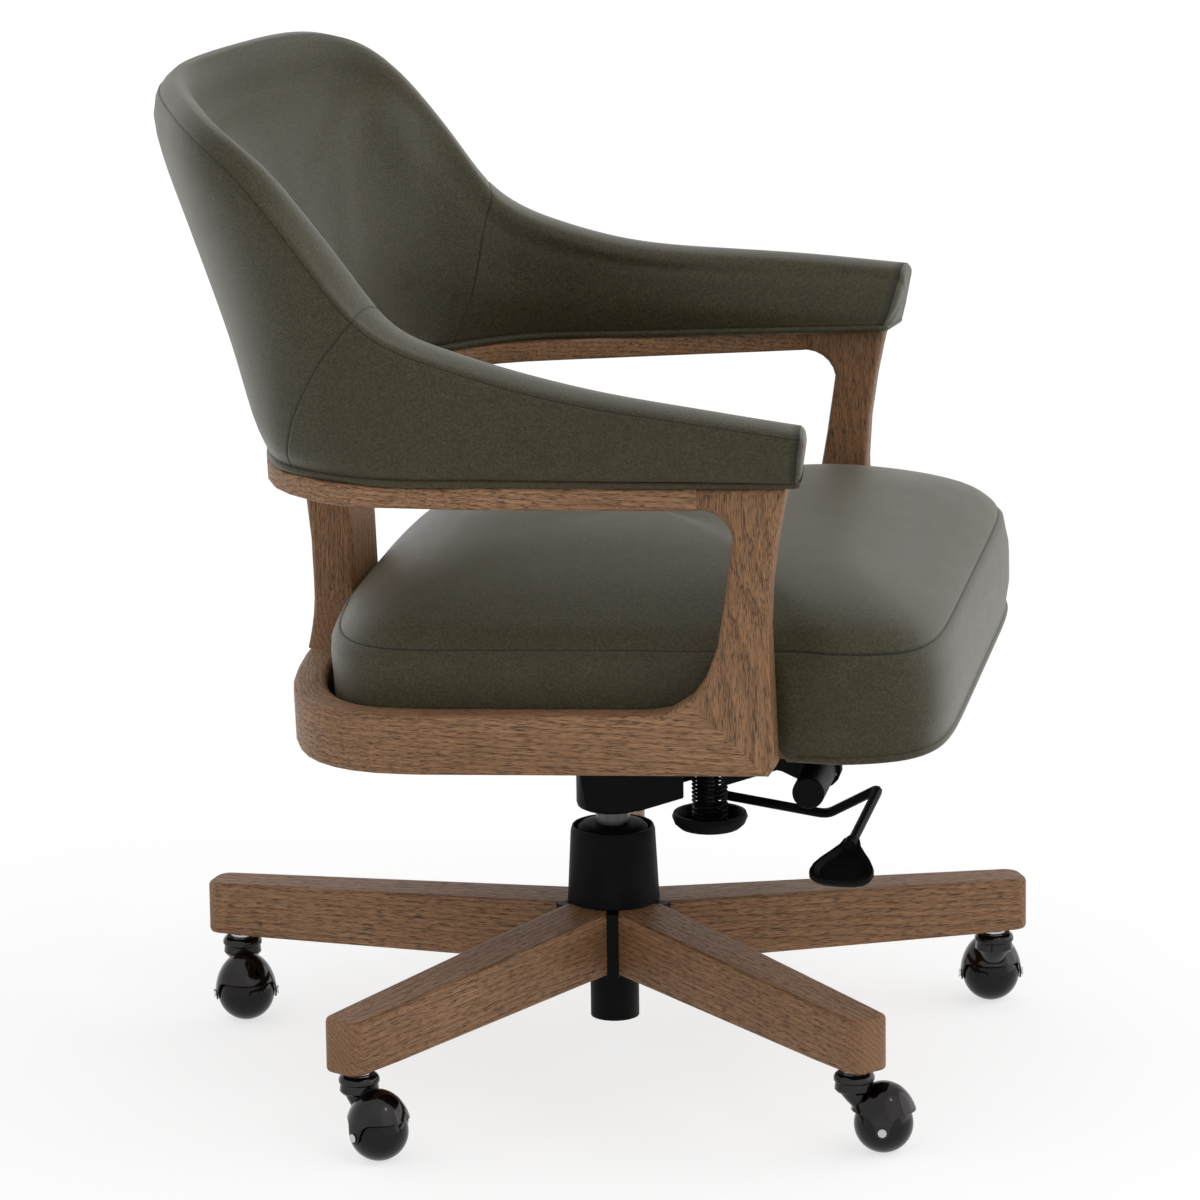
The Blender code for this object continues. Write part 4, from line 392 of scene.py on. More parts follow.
def build_fine_texture():
    inputs = {"Place": None, "Scale": 1400.0, "Shine": 0.45, "Spread": 0.10}
    tree, given, out = new_group("fine_texture", inputs, ("Roughness", "Height", "Dust"))
    patch = noise(tree, given["Place"], 38.0, 4.0)
    feed(tree, out, Roughness=sums(tree, "MULTIPLY_ADD", patch, given["Spread"], given["Shine"]),
         Height=noise(tree, given["Place"], given["Scale"]), Dust=ramp(tree, patch, 0.40, 0.80))
    return tree


fine_texture = build_fine_texture()
for name, (clean, dusty, scale, shine, spread, metallic, depth, strength, index) in PLAIN_FINISHES.items():
    made, tree, shader, place = finish_of(name)
    fine = add(tree, "ShaderNodeGroup", {"node_tree": fine_texture}, Place=place, Scale=scale, Shine=shine,
               Spread=spread)
    feed_shader(tree, shader, fine, strength, depth, Metallic=metallic, IOR=index,
                Base_Color=blend(tree, fine.outputs["Dust"], clean, dusty))
print("plain finishes:", len(PLAIN_FINISHES))

# %% [markdown]
# The solids arrive as loose triangles. A Weld modifier joins them, an Edge Split keeps the real
# edges crisp, and a Weighted Normal lets the big flats stay flat while the rounded edges catch
# the light. The boards of the frame are glued, so there a Displace modifier lets each board grow
# by less than half a millimetre and closes the play that the solids keep between them.

# %% Finish the solids
GLUE_GROWTH = 0.00042
NODE_FINISHES = {
    "oak_forward": ("lower_rail_right", "lower_rail_left", "arm_rail_right", "arm_rail_left", "seat_board"),
    "oak_upright": ("front_post_right", "front_post_left", "back_post"),
    "oak_bent": ("lower_rail_back", "arm_rail_back"),
    "black_powder_coat": ("hub_sleeve", "column_tube", "tilt_housing", "tension_spring", "lever_wire",
                          "seat_plate", "cross_tube"),
    "moulded_black": ("column_cover", "guide_bush", "release_button", "tension_knob", "lever_rocker",
                      "lever_paddle"),
    "lift_chrome": ("gas_cylinder", "tension_bolt"),
    "bright_chrome": ("piston_rod", "thrust_bearing", "anchor_pin", "lever_pin"),
}
GLUED = {name for finish in ("oak_forward", "oak_upright", "oak_bent") for name in NODE_FINISHES[finish]}
GLUED.remove("seat_board")
for number in range(1, 6):
    NODE_FINISHES[f"oak_spoke_{number}"] = (f"spoke_{number}",)
    NODE_FINISHES["bright_chrome"] += (f"caster_stem_{number}", f"caster_axle_{number}")


def modify(item, name, kind, **settings):
    step = item.modifiers.new(name, kind)
    assign(step, **settings)
    return step


def shade(item, split, grown):
    """Joins the loose triangles and keeps edges sharper than the given angle."""
    for face in item.data.polygons:
        face.use_smooth = True
    modify(item, "weld", "WELD", merge_threshold=0.00002)
    if grown:
        modify(item, "glued joint", "DISPLACE", strength=GLUE_GROWTH, mid_level=0.0)
    modify(item, "edges", "EDGE_SPLIT", split_angle=math.radians(split))
    modify(item, "normals", "WEIGHTED_NORMAL", weight=80)


def dress(item, finish):
    item.data.materials.clear()
    item.data.materials.append(bpy.data.materials[finish])


for finish, names in NODE_FINISHES.items():
    for name in names:
        dress(solids[name], finish)
        shade(solids[name], 50.0 if finish.startswith("oak") else 38.0, name in GLUED)
print("finished solids:", sum(len(names) for names in NODE_FINISHES.values()))

# %% [markdown]
# The covers follow curves that are given by a few measured stations, so a spline through rows of
# numbers is the tool for both: rows of plan and height for the barrel, points for one section.

# %% Curves through measured rows
PER_SPAN = 8


def smoothstep(value):
    value = np.clip(value, 0.0, 1.0)
    return value * value * (3.0 - 2.0 * value)


def bell(value, width):
    return np.exp(-(value / width) ** 2)


def mix(first, second, share):
    return first + (second - first) * share


def spline(rows, where):
    """A smooth curve through rows of numbers, at a row number that may lie between two rows."""
    index = min(int(where), len(rows) - 2)
    share = where - index
    first, second, third, last = (rows[min(max(i, 0), len(rows) - 1)] for i in range(index - 1, index + 3))
    bend = 2.0 * first - 5.0 * second + 4.0 * third - last
    twist = -first + 3.0 * second - 3.0 * third + last
    return 0.5 * (2.0 * second + (third - first) * share + bend * share ** 2 + twist * share ** 3)


def natural_curve(places, rows):
    """The smoothest curve through rows of numbers at rising places: a function of the place."""
    count = len(places)
    spans = np.diff(places)
    matrix, pull = np.eye(count), np.zeros_like(rows)
    for i in range(1, count - 1):
        matrix[i, i - 1:i + 2] = spans[i - 1], 2.0 * (spans[i - 1] + spans[i]), spans[i]
        pull[i] = 6.0 * ((rows[i + 1] - rows[i]) / spans[i] - (rows[i] - rows[i - 1]) / spans[i - 1])
    slopes = np.linalg.solve(matrix, pull)

    def at(place):
        i = int(np.clip(np.searchsorted(places, place) - 1, 0, count - 2))
        near, far = (places[i + 1] - place) / spans[i], (place - places[i]) / spans[i]
        bend = (near ** 3 - near) * slopes[i] + (far ** 3 - far) * slopes[i + 1]
        return rows[i] * near + rows[i + 1] * far + bend * spans[i] ** 2 / 6.0

    return at


def smooth_run(controls):
    """Many points on the smooth curve through a few."""
    steps = (len(controls) - 1) * PER_SPAN
    return np.array([spline(controls, step / PER_SPAN) for step in range(steps + 1)])


def distances(run):
    """How far along a run each of its points lies."""
    return np.concatenate([[0.0], np.cumsum(np.linalg.norm(np.diff(run, axis=0), axis=1))])


def along(run, shares):
    """Points at given shares of a run's length."""
    far = distances(run)
    wanted = np.asarray(shares) * far[-1]
    return np.stack([np.interp(wanted, far, values) for values in run.T], axis=1)


def length_of(run):
    return float(distances(run)[-1])


print("curve helpers ready")

# %% [markdown]
# The back and the two arms are one barrel: a section that travels from the front of one arm,
# round the back and forward along the other. At each station the outer foot and the outer top
# edge were measured; the width, the crown on top and the lean come from named sizes. The sewn
# cover has one long seam, along the outer top edge of the arms and some way up the crown of the
# back, and two seams across, where arm meets back.

# %% The barrel's stations and sizes
# Outer foot x and y, outer top x, y and z, from the front of an arm to the middle of the back.
BARREL_STATIONS = (
    (0.3065, -0.2045, 0.3280, -0.2125, 0.5850),
    (0.3040, -0.1200, 0.3170, -0.1210, 0.5970),
    (0.3005, -0.0400, 0.3010, -0.0450, 0.6060),
    (0.2965, 0.0400, 0.2860, 0.0150, 0.6165),
    (0.2860, 0.1290, 0.2815, 0.0800, 0.6365),
    (0.2420, 0.2000, 0.2835, 0.1370, 0.6695),
    (0.2140, 0.2200, 0.2790, 0.1780, 0.7215),
    (0.1800, 0.2320, 0.2640, 0.2220, 0.7660),
    (0.1300, 0.2400, 0.2260, 0.2665, 0.7865),
    (0.0680, 0.2440, 0.1320, 0.3125, 0.7940),
    (0.0000, 0.2450, 0.0000, 0.3440, 0.7960),
)
LAST_STATION = len(BARREL_STATIONS) - 1
CROSS_STATION = 5
RISE_WEIGHT = 0.8
PROBE = 0.01
PAD_FOOT = 0.5418
FOOT_WIDTH = 0.046
ARM_WIDTH = 0.040
SEAM_WIDTH = 0.050
TOP_WIDTH = 0.034
ARM_DOME = 0.006
BACK_DOME = 0.029
ARM_SWELL = 0.005
BACK_SWELL = 0.0095
ARM_SWELL_SHARES = np.array((0.80, 1.00, 1.00, 0.55))
BACK_SWELL_SHARES = np.array((0.72, 0.85, 0.85, 0.65))
CROWN_SHARES = np.array((0.70, 1.00, 0.50, -0.55))
CORNER_FILL = 0.012
CORNER_STATION = 7.2
SEAM_SKEW = 0.24
SEAM_BOW = 0.014
FRONT_SKEW = 0.19
SEAM_RAISE = 0.018
OUTER_POINTS = 49
INNER_POINTS = 73
PIPING_RADIUS = 0.0032


def flat_unit(vector):
    vector = np.asarray(vector, float)
    return vector / max(np.linalg.norm(vector), 1e-9)


def barrel_path():
    """The rows from the left arm round to the right one, at their distances along the middle."""
    rows = np.array([(*row, float(index)) for index, row in enumerate(BARREL_STATIONS)])
    mirrored = rows[-2::-1] * np.array((-1.0, 1.0, -1.0, 1.0, 1.0, -1.0))
    mirrored[:, 5] += 2.0 * LAST_STATION
    rows = np.concatenate([rows, mirrored])
    places = distances(np.column_stack([(rows[:, 0:2] + rows[:, 2:4]) / 2.0, RISE_WEIGHT * rows[:, 4]]))
    return places, natural_curve(places, rows)


STATION_PLACES, barrel_at = barrel_path()
BARREL_LENGTH = float(STATION_PLACES[-1])
CROSS_SEAMS = (float(STATION_PLACES[CROSS_STATION]), BARREL_LENGTH - float(STATION_PLACES[CROSS_STATION]))


def section(place):
    """The outer run, from the piping to the long seam; the inner run, over the crown and down; the feet."""
    here = barrel_at(place)
    foot, top, top_z, station = here[0:2], here[2:4], here[4], here[5]
    after, before = barrel_at(min(place + PROBE, BARREL_LENGTH)), barrel_at(max(place - PROBE, 0.0))
    foot_run, top_run = (flat_unit(after[k:k + 2] - before[k:k + 2]) for k in (0, 2))
    foot_in, top_in = (np.array((-run[1], run[0])) for run in (foot_run, top_run))
    where = LAST_STATION - abs(station - LAST_STATION)
    past = where - CROSS_STATION
    half = 1.0 if station <= LAST_STATION else -1.0
    back = smoothstep(past / 3.0)
    if past <= 0.0:
        top_width = mix(ARM_WIDTH, SEAM_WIDTH, where / CROSS_STATION)
    else:
        top_width = mix(SEAM_WIDTH, TOP_WIDTH, back)
    at_seam = bell(past, 1.6)
    skew = half * (SEAM_SKEW * at_seam - FRONT_SKEW * bell(where, 0.8))
    swells = -mix(ARM_SWELL, BACK_SWELL, back) * mix(ARM_SWELL_SHARES, BACK_SWELL_SHARES, back)
    crown = mix(ARM_DOME, BACK_DOME, smoothstep(past / 4.0)) * CROWN_SHARES
    fill = CORNER_FILL * bell(where - CORNER_STATION, 1.3)

    def at(out, height, shift, rise=0.0):
        width = mix(FOOT_WIDTH, top_width, height)
        inward = flat_unit(mix(foot_in, top_in, height))
        bow = half * at_seam * SEAM_BOW * 4.0 * height * (1.0 - height) * (1.0 - out)
        plan = mix(foot, top, height) + inward * (width * out + shift) + top_run * (bow - width * out * skew)
        return np.array((*plan, mix(PAD_FOOT, top_z, height) + rise))

    outer = [at(0.0, 0.0, 0.0016, 0.0058)]
    outer += [at(0.0, height, swell) for height, swell in zip((0.16, 0.40, 0.70, 0.88), swells)]
    outer += [at(0.0, 1.0, 0.0)]
    inner = [at(out, 1.0, shift, rise)
             for out, shift, rise in zip((0.20, 0.55, 0.88, 1.0), (0.0, 0.0, 0.3 * fill, 0.6 * fill), crown)]
    inner += [at(1.0, 0.86, 0.0040 * back + fill), at(1.0, 0.72, 0.0030 + 0.0050 * back + fill),
              at(1.0, 0.38, 0.0050 + 0.0020 * back + 0.6 * fill), at(1.0, 0.0, -0.0016, 0.0058)]
    run = smooth_run(outer + inner)
    raised = SEAM_RAISE * smoothstep((past - 0.8) / 3.0)
    seam = (length_of(run[:(len(outer) - 1) * PER_SPAN + 1]) + raised) / length_of(run)
    feet = np.array([at(0.0, 0.0, 0.0046), at(0.0, 0.0, 0.0046, 0.0048),
                     at(1.0, 0.0, -0.0046, 0.0048), at(1.0, 0.0, -0.0046)])
    return (along(run, np.linspace(0.0, seam, OUTER_POINTS)),
            along(run, np.linspace(seam, 1.0, INNER_POINTS)), feet)


arm_lengths = [round(length_of(run), 3) for run in section(0.1)[:2]]
print("barrel:", round(BARREL_LENGTH, 3), "m along its middle; the section at an arm is", arm_lengths[0],
      "m outside and", arm_lengths[1], "m over the top")

# %% [markdown]
# Padding pushes a cover outwards between its seams. Blender's Cloth does the same when it has
# pressure inside and its seams are held, so a coarse copy of each cover is blown up a little
# with gravity off, and only how far each point moved is kept. The fine cover adds that movement,
# capped to a few millimetres, which leaves the measured outline as it was.

# %% Puffing a cover with Cloth
PUFF_FRAMES = 20


def ring_faces(rings, round_count):
    """Quads between rings of points, with each end closed by one many-sided face."""
    faces = []
    for ring in range(rings - 1):
        for step in range(round_count):
            after = (step + 1) % round_count
            low, high = ring * round_count, (ring + 1) * round_count
            faces.append((low + step, low + after, high + after, high + step))
    faces.append(tuple(range(round_count))[::-1])
    faces.append(tuple((rings - 1) * round_count + step for step in range(round_count)))
    return faces


def mesh_from(name, points, faces, edges=()):
    mesh = bpy.data.meshes.new(name)
    mesh.from_pydata([tuple(p) for p in points], edges, faces)
    return mesh


def outward_faces(mesh):
    """Turns every face of a closed mesh outwards."""
    bm = bmesh.new()
    bm.from_mesh(mesh)
    bmesh.ops.recalc_face_normals(bm, faces=bm.faces)
    bm.to_mesh(mesh)
    bm.free()


def evaluated(item):
    """The item with its modifiers worked out."""
    return item.evaluated_get(bpy.context.evaluated_depsgraph_get())


def puff(name, rings, held, pressure, most):
    """How far each point of a closed cover moves when it is blown up with its seams held."""
    points = in_seat(rings.reshape(-1, 3))
    mesh = mesh_from(name, points, ring_faces(*rings.shape[:2]))
    outward_faces(mesh)
    item = to_scene(name, mesh)
    item.vertex_groups.new(name="held").add([int(i) for i in held], 1.0, "REPLACE")
    cloth = modify(item, "cloth", "CLOTH")
    assign(cloth.settings, quality=6, mass=0.35, tension_stiffness=22.0, compression_stiffness=22.0,
           bending_stiffness=2.0, use_pressure=True, uniform_pressure_force=pressure,
           vertex_group_mass="held")
    cloth.settings.effector_weights.gravity = 0.0
    cloth.collision_settings.use_collision = False
    assign(cloth.point_cache, frame_start=1, frame_end=PUFF_FRAMES)
    for step in range(1, PUFF_FRAMES + 1):
        bpy.context.scene.frame_set(step)
    moved = np.array([v.co for v in evaluated(item).data.vertices], float) - points
    bpy.data.objects.remove(item, do_unlink=True)
    bpy.context.scene.frame_set(1)
    print(name, "puffed by up to", round(float(np.linalg.norm(moved, axis=1).max()) * 1000.0, 1), "mm")
    return capped(moved, most).reshape(rings.shape)


def capped(moved, most):
    """The movement with its length eased off so that it never passes the cap."""
    size = np.linalg.norm(moved, axis=-1, keepdims=True)
    return moved * (most * np.tanh(size / most) / np.maximum(size, 1e-9))


def evened(grid, rounds=3):
    """A grid of movements, each drawn towards its neighbours, so that no lump of the coarse mesh stays."""
    for _ in range(rounds):
        for axis in (0, 1):
            padded = np.concatenate([np.take(grid, [0], axis), grid, np.take(grid, [-1], axis)], axis)
            before, after = (np.take(padded, range(s, s + grid.shape[axis]), axis) for s in (0, 2))
            grid = grid * 0.5 + (before + after) * 0.25
    return grid


print("cloth helper ready")

# %% Puff the barrel
COARSE_SECTIONS = 84
OUTER_SHARES = np.linspace(0.0, 1.0, 9)
INNER_SHARES = np.linspace(0.0, 1.0, 15)


def from_cross_seam(place):
    return min(abs(place - seam) for seam in CROSS_SEAMS)


def barrel_movement():
    """The coarse barrel's movement as two grids: outer face and inner face."""
    places = np.linspace(0.0, BARREL_LENGTH, COARSE_SECTIONS + 1)
    rings = []
    for place in places:
        outer, inner, feet = section(place)
        rings.append(np.concatenate([feet[:1], along(outer, OUTER_SHARES), along(inner, INNER_SHARES[1:]),
                                     feet[3:]]))
    rings = np.array(rings)
    count = rings.shape[1]
    seam_column = len(OUTER_SHARES)
    held = set()
    for ring, place in enumerate(places):
        whole = ring in (0, len(places) - 1) or from_cross_seam(place) < 0.010
        columns = range(count) if whole else (0, 1, seam_column, count - 2, count - 1)
        held |= {ring * count + column for column in columns}
    moved = puff("barrel_coarse", rings, sorted(held), 4.0, 0.0025)
    return evened(moved[:, 1:seam_column + 1]), evened(moved[:, seam_column:count - 1])


outer_movement, inner_movement = barrel_movement()
print("barrel movement grids:", outer_movement.shape, inner_movement.shape)

# %% [markdown]
# The fine cover is a grid of points: sections along the barrel, rows round each section. Rows
# crowd together at a seam so that a groove one or two millimetres wide has points of its own.
# Each seam row is sunk, and the rows beside it rise a little, as a turned and pressed seam does.

# %% Seams as crowded rows
SEAM_OFFSETS = (0.0007, 0.0017, 0.0042)
SEAM_REACH = 0.0065
SEAM_DEPTH = 0.0009
SEAM_LIP = 0.00022
SEAM_LINE = 0.00045
EVEN_SECTIONS = 211
OUTER_COUNT = 22
INNER_COUNT = 38


def seam_depth(distance):
    """How far the surface moves outwards, in metres, at a distance from a seam."""
    return SEAM_LIP * bell(distance - SEAM_OFFSETS[2], 0.0028) - SEAM_DEPTH * bell(distance, 0.0008)


def seam_marks(distance, reach):
    """The two numbers that the leather reads: how near the seam is, and whether a point is on it."""
    return np.exp(-distance / reach), bell(distance, SEAM_LINE)


def sample_grid(grid, first, second):
    """A grid's value at two shares from 0 to 1."""
    a, b = first * (grid.shape[0] - 1), second * (grid.shape[1] - 1)
    i, j = min(int(a), grid.shape[0] - 2), min(int(b), grid.shape[1] - 2)
    return mix(mix(grid[i, j], grid[i + 1, j], a - i), mix(grid[i, j + 1], grid[i + 1, j + 1], a - i), b - j)


def seam_rows(count, total):
    """Shares of a run that starts at a seam: crowded rows, then even ones."""
    return np.array([0.0, *(o / total for o in SEAM_OFFSETS), *np.linspace(SEAM_REACH / total, 1.0, count)])


def barrel_places():
    """Where the sections stand: evenly, but crowded at the cross seams."""
    even = [p for p in np.linspace(0.0, BARREL_LENGTH, EVEN_SECTIONS) if from_cross_seam(p) > 0.006]
    crowded = [seam + side * o for seam in CROSS_SEAMS for o in (0.0, *SEAM_OFFSETS) for side in (-1.0, 1.0)]
    return sorted(set(round(float(p), 7) for p in even + crowded))


print("sections along the barrel:", len(barrel_places()))

# %% [markdown]
# Real leather is never quite smooth where it is stretched over a curve. A few soft folds are
# added where the photograph of such a chair shows them: upright ones low in the hollow of the
# back, slanting ones under the top corners, and short ones near the cross seams.

# %% Soft folds in the back
# Start and end of each fold, as station and share of the inner face, then its width and height.
FOLDS = (
    (8.6, 0.42, 9.0, 0.86, 0.16, 0.0011),
    (9.3, 0.40, 9.5, 0.90, 0.15, 0.0009),
    (10.2, 0.36, 10.4, 0.88, 0.17, 0.0011),
    (11.0, 0.45, 11.1, 0.92, 0.15, 0.0009),
    (12.1, 0.22, 10.9, 0.46, 0.20, 0.0012),
    (12.7, 0.26, 11.6, 0.52, 0.16, 0.0008),
    (7.9, 0.22, 9.0, 0.46, 0.20, 0.0012),
    (7.3, 0.26, 8.3, 0.52, 0.16, 0.0008),
    (14.2, 0.45, 14.5, 0.80, 0.10, 0.0008),
    (15.5, 0.40, 15.9, 0.78, 0.12, 0.0010),
    (16.2, 0.46, 16.4, 0.72, 0.11, 0.0007),
    (4.3, 0.42, 4.0, 0.78, 0.12, 0.0009),
)


def fold_height(where, share):
    """The height of the folds at a place on the inner face."""
    height = 0.0
    for w0, s0, w1, s1, width, rise in FOLDS:
        t = np.clip((share - s0) / (s1 - s0), 0.0, 1.0)
        fade = bell(max(s0 - share, share - s1, 0.0), 0.07) * math.sin(math.pi * (0.12 + 0.76 * t))
        across_fold = (where - mix(w0, w1, t)) / width
        height += rise * fade * (bell(across_fold, 1.0) - 0.55 * bell(across_fold - 1.5, 0.9))
    return height


print("folds:", len(FOLDS))

# %% Sew the barrel cover
NEAR_BARREL_SEAM = 0.008
# Rings on the front of an arm: inset, forward, nearness to the seam.
CAP_STEPS = ((0.0008, 0.0006, 0.8), (0.0022, 0.0021, 0.7), (0.0050, 0.0036, 0.4), (0.0100, 0.0046, 0.1),
             (0.0160, 0.0050, 0.0))


def grid_normals(grid):
    """Unit normals of a grid of points that is closed across and open along."""
    normals = np.cross(np.gradient(grid, axis=0), np.roll(grid, -1, axis=1) - np.roll(grid, 1, axis=1))
    return normals / np.maximum(np.linalg.norm(normals, axis=2, keepdims=True), 1e-12)


def cover_object(name, rings, near, on):
    """A closed cover from its rings, with the two numbers that the leather reads."""
    mesh = mesh_from(name, in_seat(rings.reshape(-1, 3)), ring_faces(*rings.shape[:2]))
    for label, values in (("near_seam", near), ("on_seam", on)):
        attribute = mesh.attributes.new(label, "FLOAT", "POINT")
        attribute.data.foreach_set("value", values.ravel().astype(np.float32))
    outward_faces(mesh)
    mesh.shade_smooth()
    mesh.materials.append(leather)
    return to_scene(name, mesh)


def end_cap(ring, inside):
    """Rings that close the front of an arm: a sewn edge, then a slightly domed face."""
    middle = ring.mean(axis=0)
    outward = flat_unit(middle - inside.mean(axis=0))
    reach = np.linalg.norm(ring - middle, axis=1).mean()
    return np.array([middle + (ring - middle) * (1.0 - inset / reach) + outward * forward
                     for inset, forward, _ in CAP_STEPS])


def barrel_row(place):
    """One section of the cover, how far each point is from a seam, and how far it moves outwards."""
    outer, inner, feet = section(place)
    outer_length, inner_length = length_of(outer), length_of(inner)
    outer_shares = 1.0 - seam_rows(OUTER_COUNT, outer_length)[::-1]
    inner_shares = seam_rows(INNER_COUNT, inner_length)
    travel = place / BARREL_LENGTH
    outer_points = along(outer, outer_shares) + [sample_grid(outer_movement, travel, s) for s in outer_shares]
    inner_points = along(inner, inner_shares) + [sample_grid(inner_movement, travel, s) for s in inner_shares]
    far = np.concatenate([(1.0 - outer_shares) * outer_length, inner_shares[1:] * inner_length])
    cross = from_cross_seam(place)
    depth = np.minimum(seam_depth(far), seam_depth(cross))
    station = float(barrel_at(place)[5])
    depth[len(outer_shares) - 1:] += [fold_height(station, s) for s in inner_shares]
    return (np.concatenate([feet[:2], outer_points, inner_points[1:], feet[2:]]),
            np.minimum(np.pad(far, 2, constant_values=1.0), cross), np.pad(depth, 2))


def sew_barrel():
    sections = [barrel_row(place) for place in barrel_places()]
    grid, distance, depth = (np.array(rows) for rows in zip(*sections))
    near, on = seam_marks(distance, NEAR_BARREL_SEAM)
    normals = grid_normals(grid)
    from_centre = grid[:, 10] - np.array((0.0, 0.02, 0.0))
    normals *= np.sign((from_centre[:, :2] * normals[:, 10, :2]).sum(axis=1).mean())
    grid = grid + normals * depth[:, :, None]
    on[0] = on[-1] = 1.0
    near[0:2] = near[-2:] = np.maximum(near[0:2], 0.6)

    steps = len(CAP_STEPS)
    cap_near = np.outer([step[2] for step in CAP_STEPS], np.ones(grid.shape[1]))
    rings = np.concatenate([end_cap(grid[0], grid[1])[::-1], grid, end_cap(grid[-1], grid[-2])])
    return cover_object("barrel_cover", rings, np.concatenate([cap_near[::-1], near, cap_near]),
                        np.pad(on, ((steps, steps), (0, 0))))


barrel_cover = sew_barrel()
print("barrel cover:", len(barrel_cover.data.vertices), "points")

# %% [markdown]
# The cushion is a crowned block: an upright band below, a sewn edge, and a top that rises to a
# broad crown. In plan it fills the hollow of the rail behind, is squeezed between the front
# posts, and swells past them in front. Under the front edge it wraps round the seat board.

# %% The cushion's plan and sizes
HALF_WIDTH = 0.2609
SHOULDER = 0.060
CUSHION_REAR = 0.1969
CUSHION_FRONT = -0.302
CUSHION_MIDDLE = np.array((0.0, -0.035))
REAR_POWER = 3.8
CORNER_POWER = 8.0
FRONT_POWER = 1.4 * CORNER_POWER
POST_FRONT = -0.1775
FRONT_SWELL = 0.0090
RAIL_FLARE = 0.022
CUSHION_FOOT = 0.3163
BOARD_TOP = 0.3286
EDGE_SEAM = 0.4040
CROWN = 0.056
TOP_RADIUS = 0.262
CUSHION_POINTS = 220


def signed_power(value, power):
    return math.copysign(abs(value) ** power, value)


def cushion_plan():
    """The cushion from above, as evenly spread points that run round it once."""
    plan = []
    for step in range(241):
        turn = math.pi * step / 240
        plan.append((-HALF_WIDTH * signed_power(math.cos(turn), 2.0 / REAR_POWER),
                     mix(SHOULDER, CUSHION_REAR, signed_power(math.sin(turn), 2.0 / REAR_POWER))))
    for step in range(1, 480):
        turn = math.pi * step / 480
        y = mix(SHOULDER, CUSHION_FRONT, signed_power(math.sin(turn), 2.0 / FRONT_POWER))
        swell = FRONT_SWELL * smoothstep((POST_FRONT - 0.008 - y) / 0.045)
        swell += RAIL_FLARE * max(SHOULDER - y, 0.0)
        plan.append(((HALF_WIDTH + swell) * signed_power(math.cos(turn), 2.0 / CORNER_POWER), y))
    return along(np.array(plan + plan[:1]), np.arange(CUSHION_POINTS) / CUSHION_POINTS)


PLAN = cushion_plan()
RUN = np.roll(PLAN, -1, axis=0) - np.roll(PLAN, 1, axis=0)
PLAN_OUT = np.stack([RUN[:, 1], -RUN[:, 0]], axis=1) / np.linalg.norm(RUN, axis=1)[:, None]
PLAN_OUT *= np.sign((PLAN_OUT * (PLAN - PLAN.mean(axis=0))).sum(axis=1).mean())
print("cushion:", [round(float(v), 3) for v in PLAN.max(axis=0) - PLAN.min(axis=0)], "m in plan")

# %% Rings of the cushion, from its underside to the crown
# The side band's heights and how far it stands out, where it is free and where posts hold it.
FREE_SIDE = ((0.3163, 0.3223, 0.3463, 0.3763, 0.4000, 0.4040),
             (0.0, -0.0002, 0.0040, 0.0046, 0.0006, -0.0030))
HELD_SIDE = ((0.3163, 0.3450, 0.3600, 0.3780, 0.3920, 0.4010, 0.4040),
             (0.0015, 0.0019, 0.0021, 0.0030, 0.0022, -0.0020, -0.0052))
IN_FRONT = PLAN[:, 1] < POST_FRONT - 0.004
BETWEEN_POSTS = (smoothstep((PLAN[:, 1] + 0.105) / 0.040)
                 * np.where(PLAN[:, 1] < 0.150, 1.0, smoothstep((np.abs(PLAN[:, 0]) - 0.088) / 0.030)))
SEAM_INSET = np.where(IN_FRONT, 0.0030, 0.0030 + 0.0025 * BETWEEN_POSTS)
SEAM_HEIGHT = EDGE_SEAM - 0.0035 * smoothstep((-0.20 - PLAN[:, 1]) / 0.10)
FOOT_HEIGHT = np.where(IN_FRONT, CUSHION_FOOT, BOARD_TOP)
BAND = EDGE_SEAM - CUSHION_FOOT


def cushion_ring(out, height, share=1.0):
    """A ring at an offset outwards, a height, and a share of its size about the middle."""
    plan = CUSHION_MIDDLE + (PLAN - CUSHION_MIDDLE) * share + PLAN_OUT * np.reshape(out, (-1, 1))
    return np.column_stack([plan, np.broadcast_to(height, len(PLAN))])


def side_out(height):
    """How far the side band stands out at a height: it bellies between its foot and its sewn edge."""
    out, belly = (float(np.interp(height, *side)) for side in (FREE_SIDE, HELD_SIDE))
    return np.where(IN_FRONT, out, mix(min(out, 0.0) - 0.0003, belly, BETWEEN_POSTS))


def crown_height(share):
    """The top's rise at a share of the plan's size, fuller in front, where it falls more steeply."""
    ahead_share = smoothstep((POST_FRONT + 0.060 - PLAN[:, 1]) / 0.100)
    return CROWN * (1.0 - share ** (3.2 - 0.5 * ahead_share)) ** (0.85 - 0.21 * ahead_share)


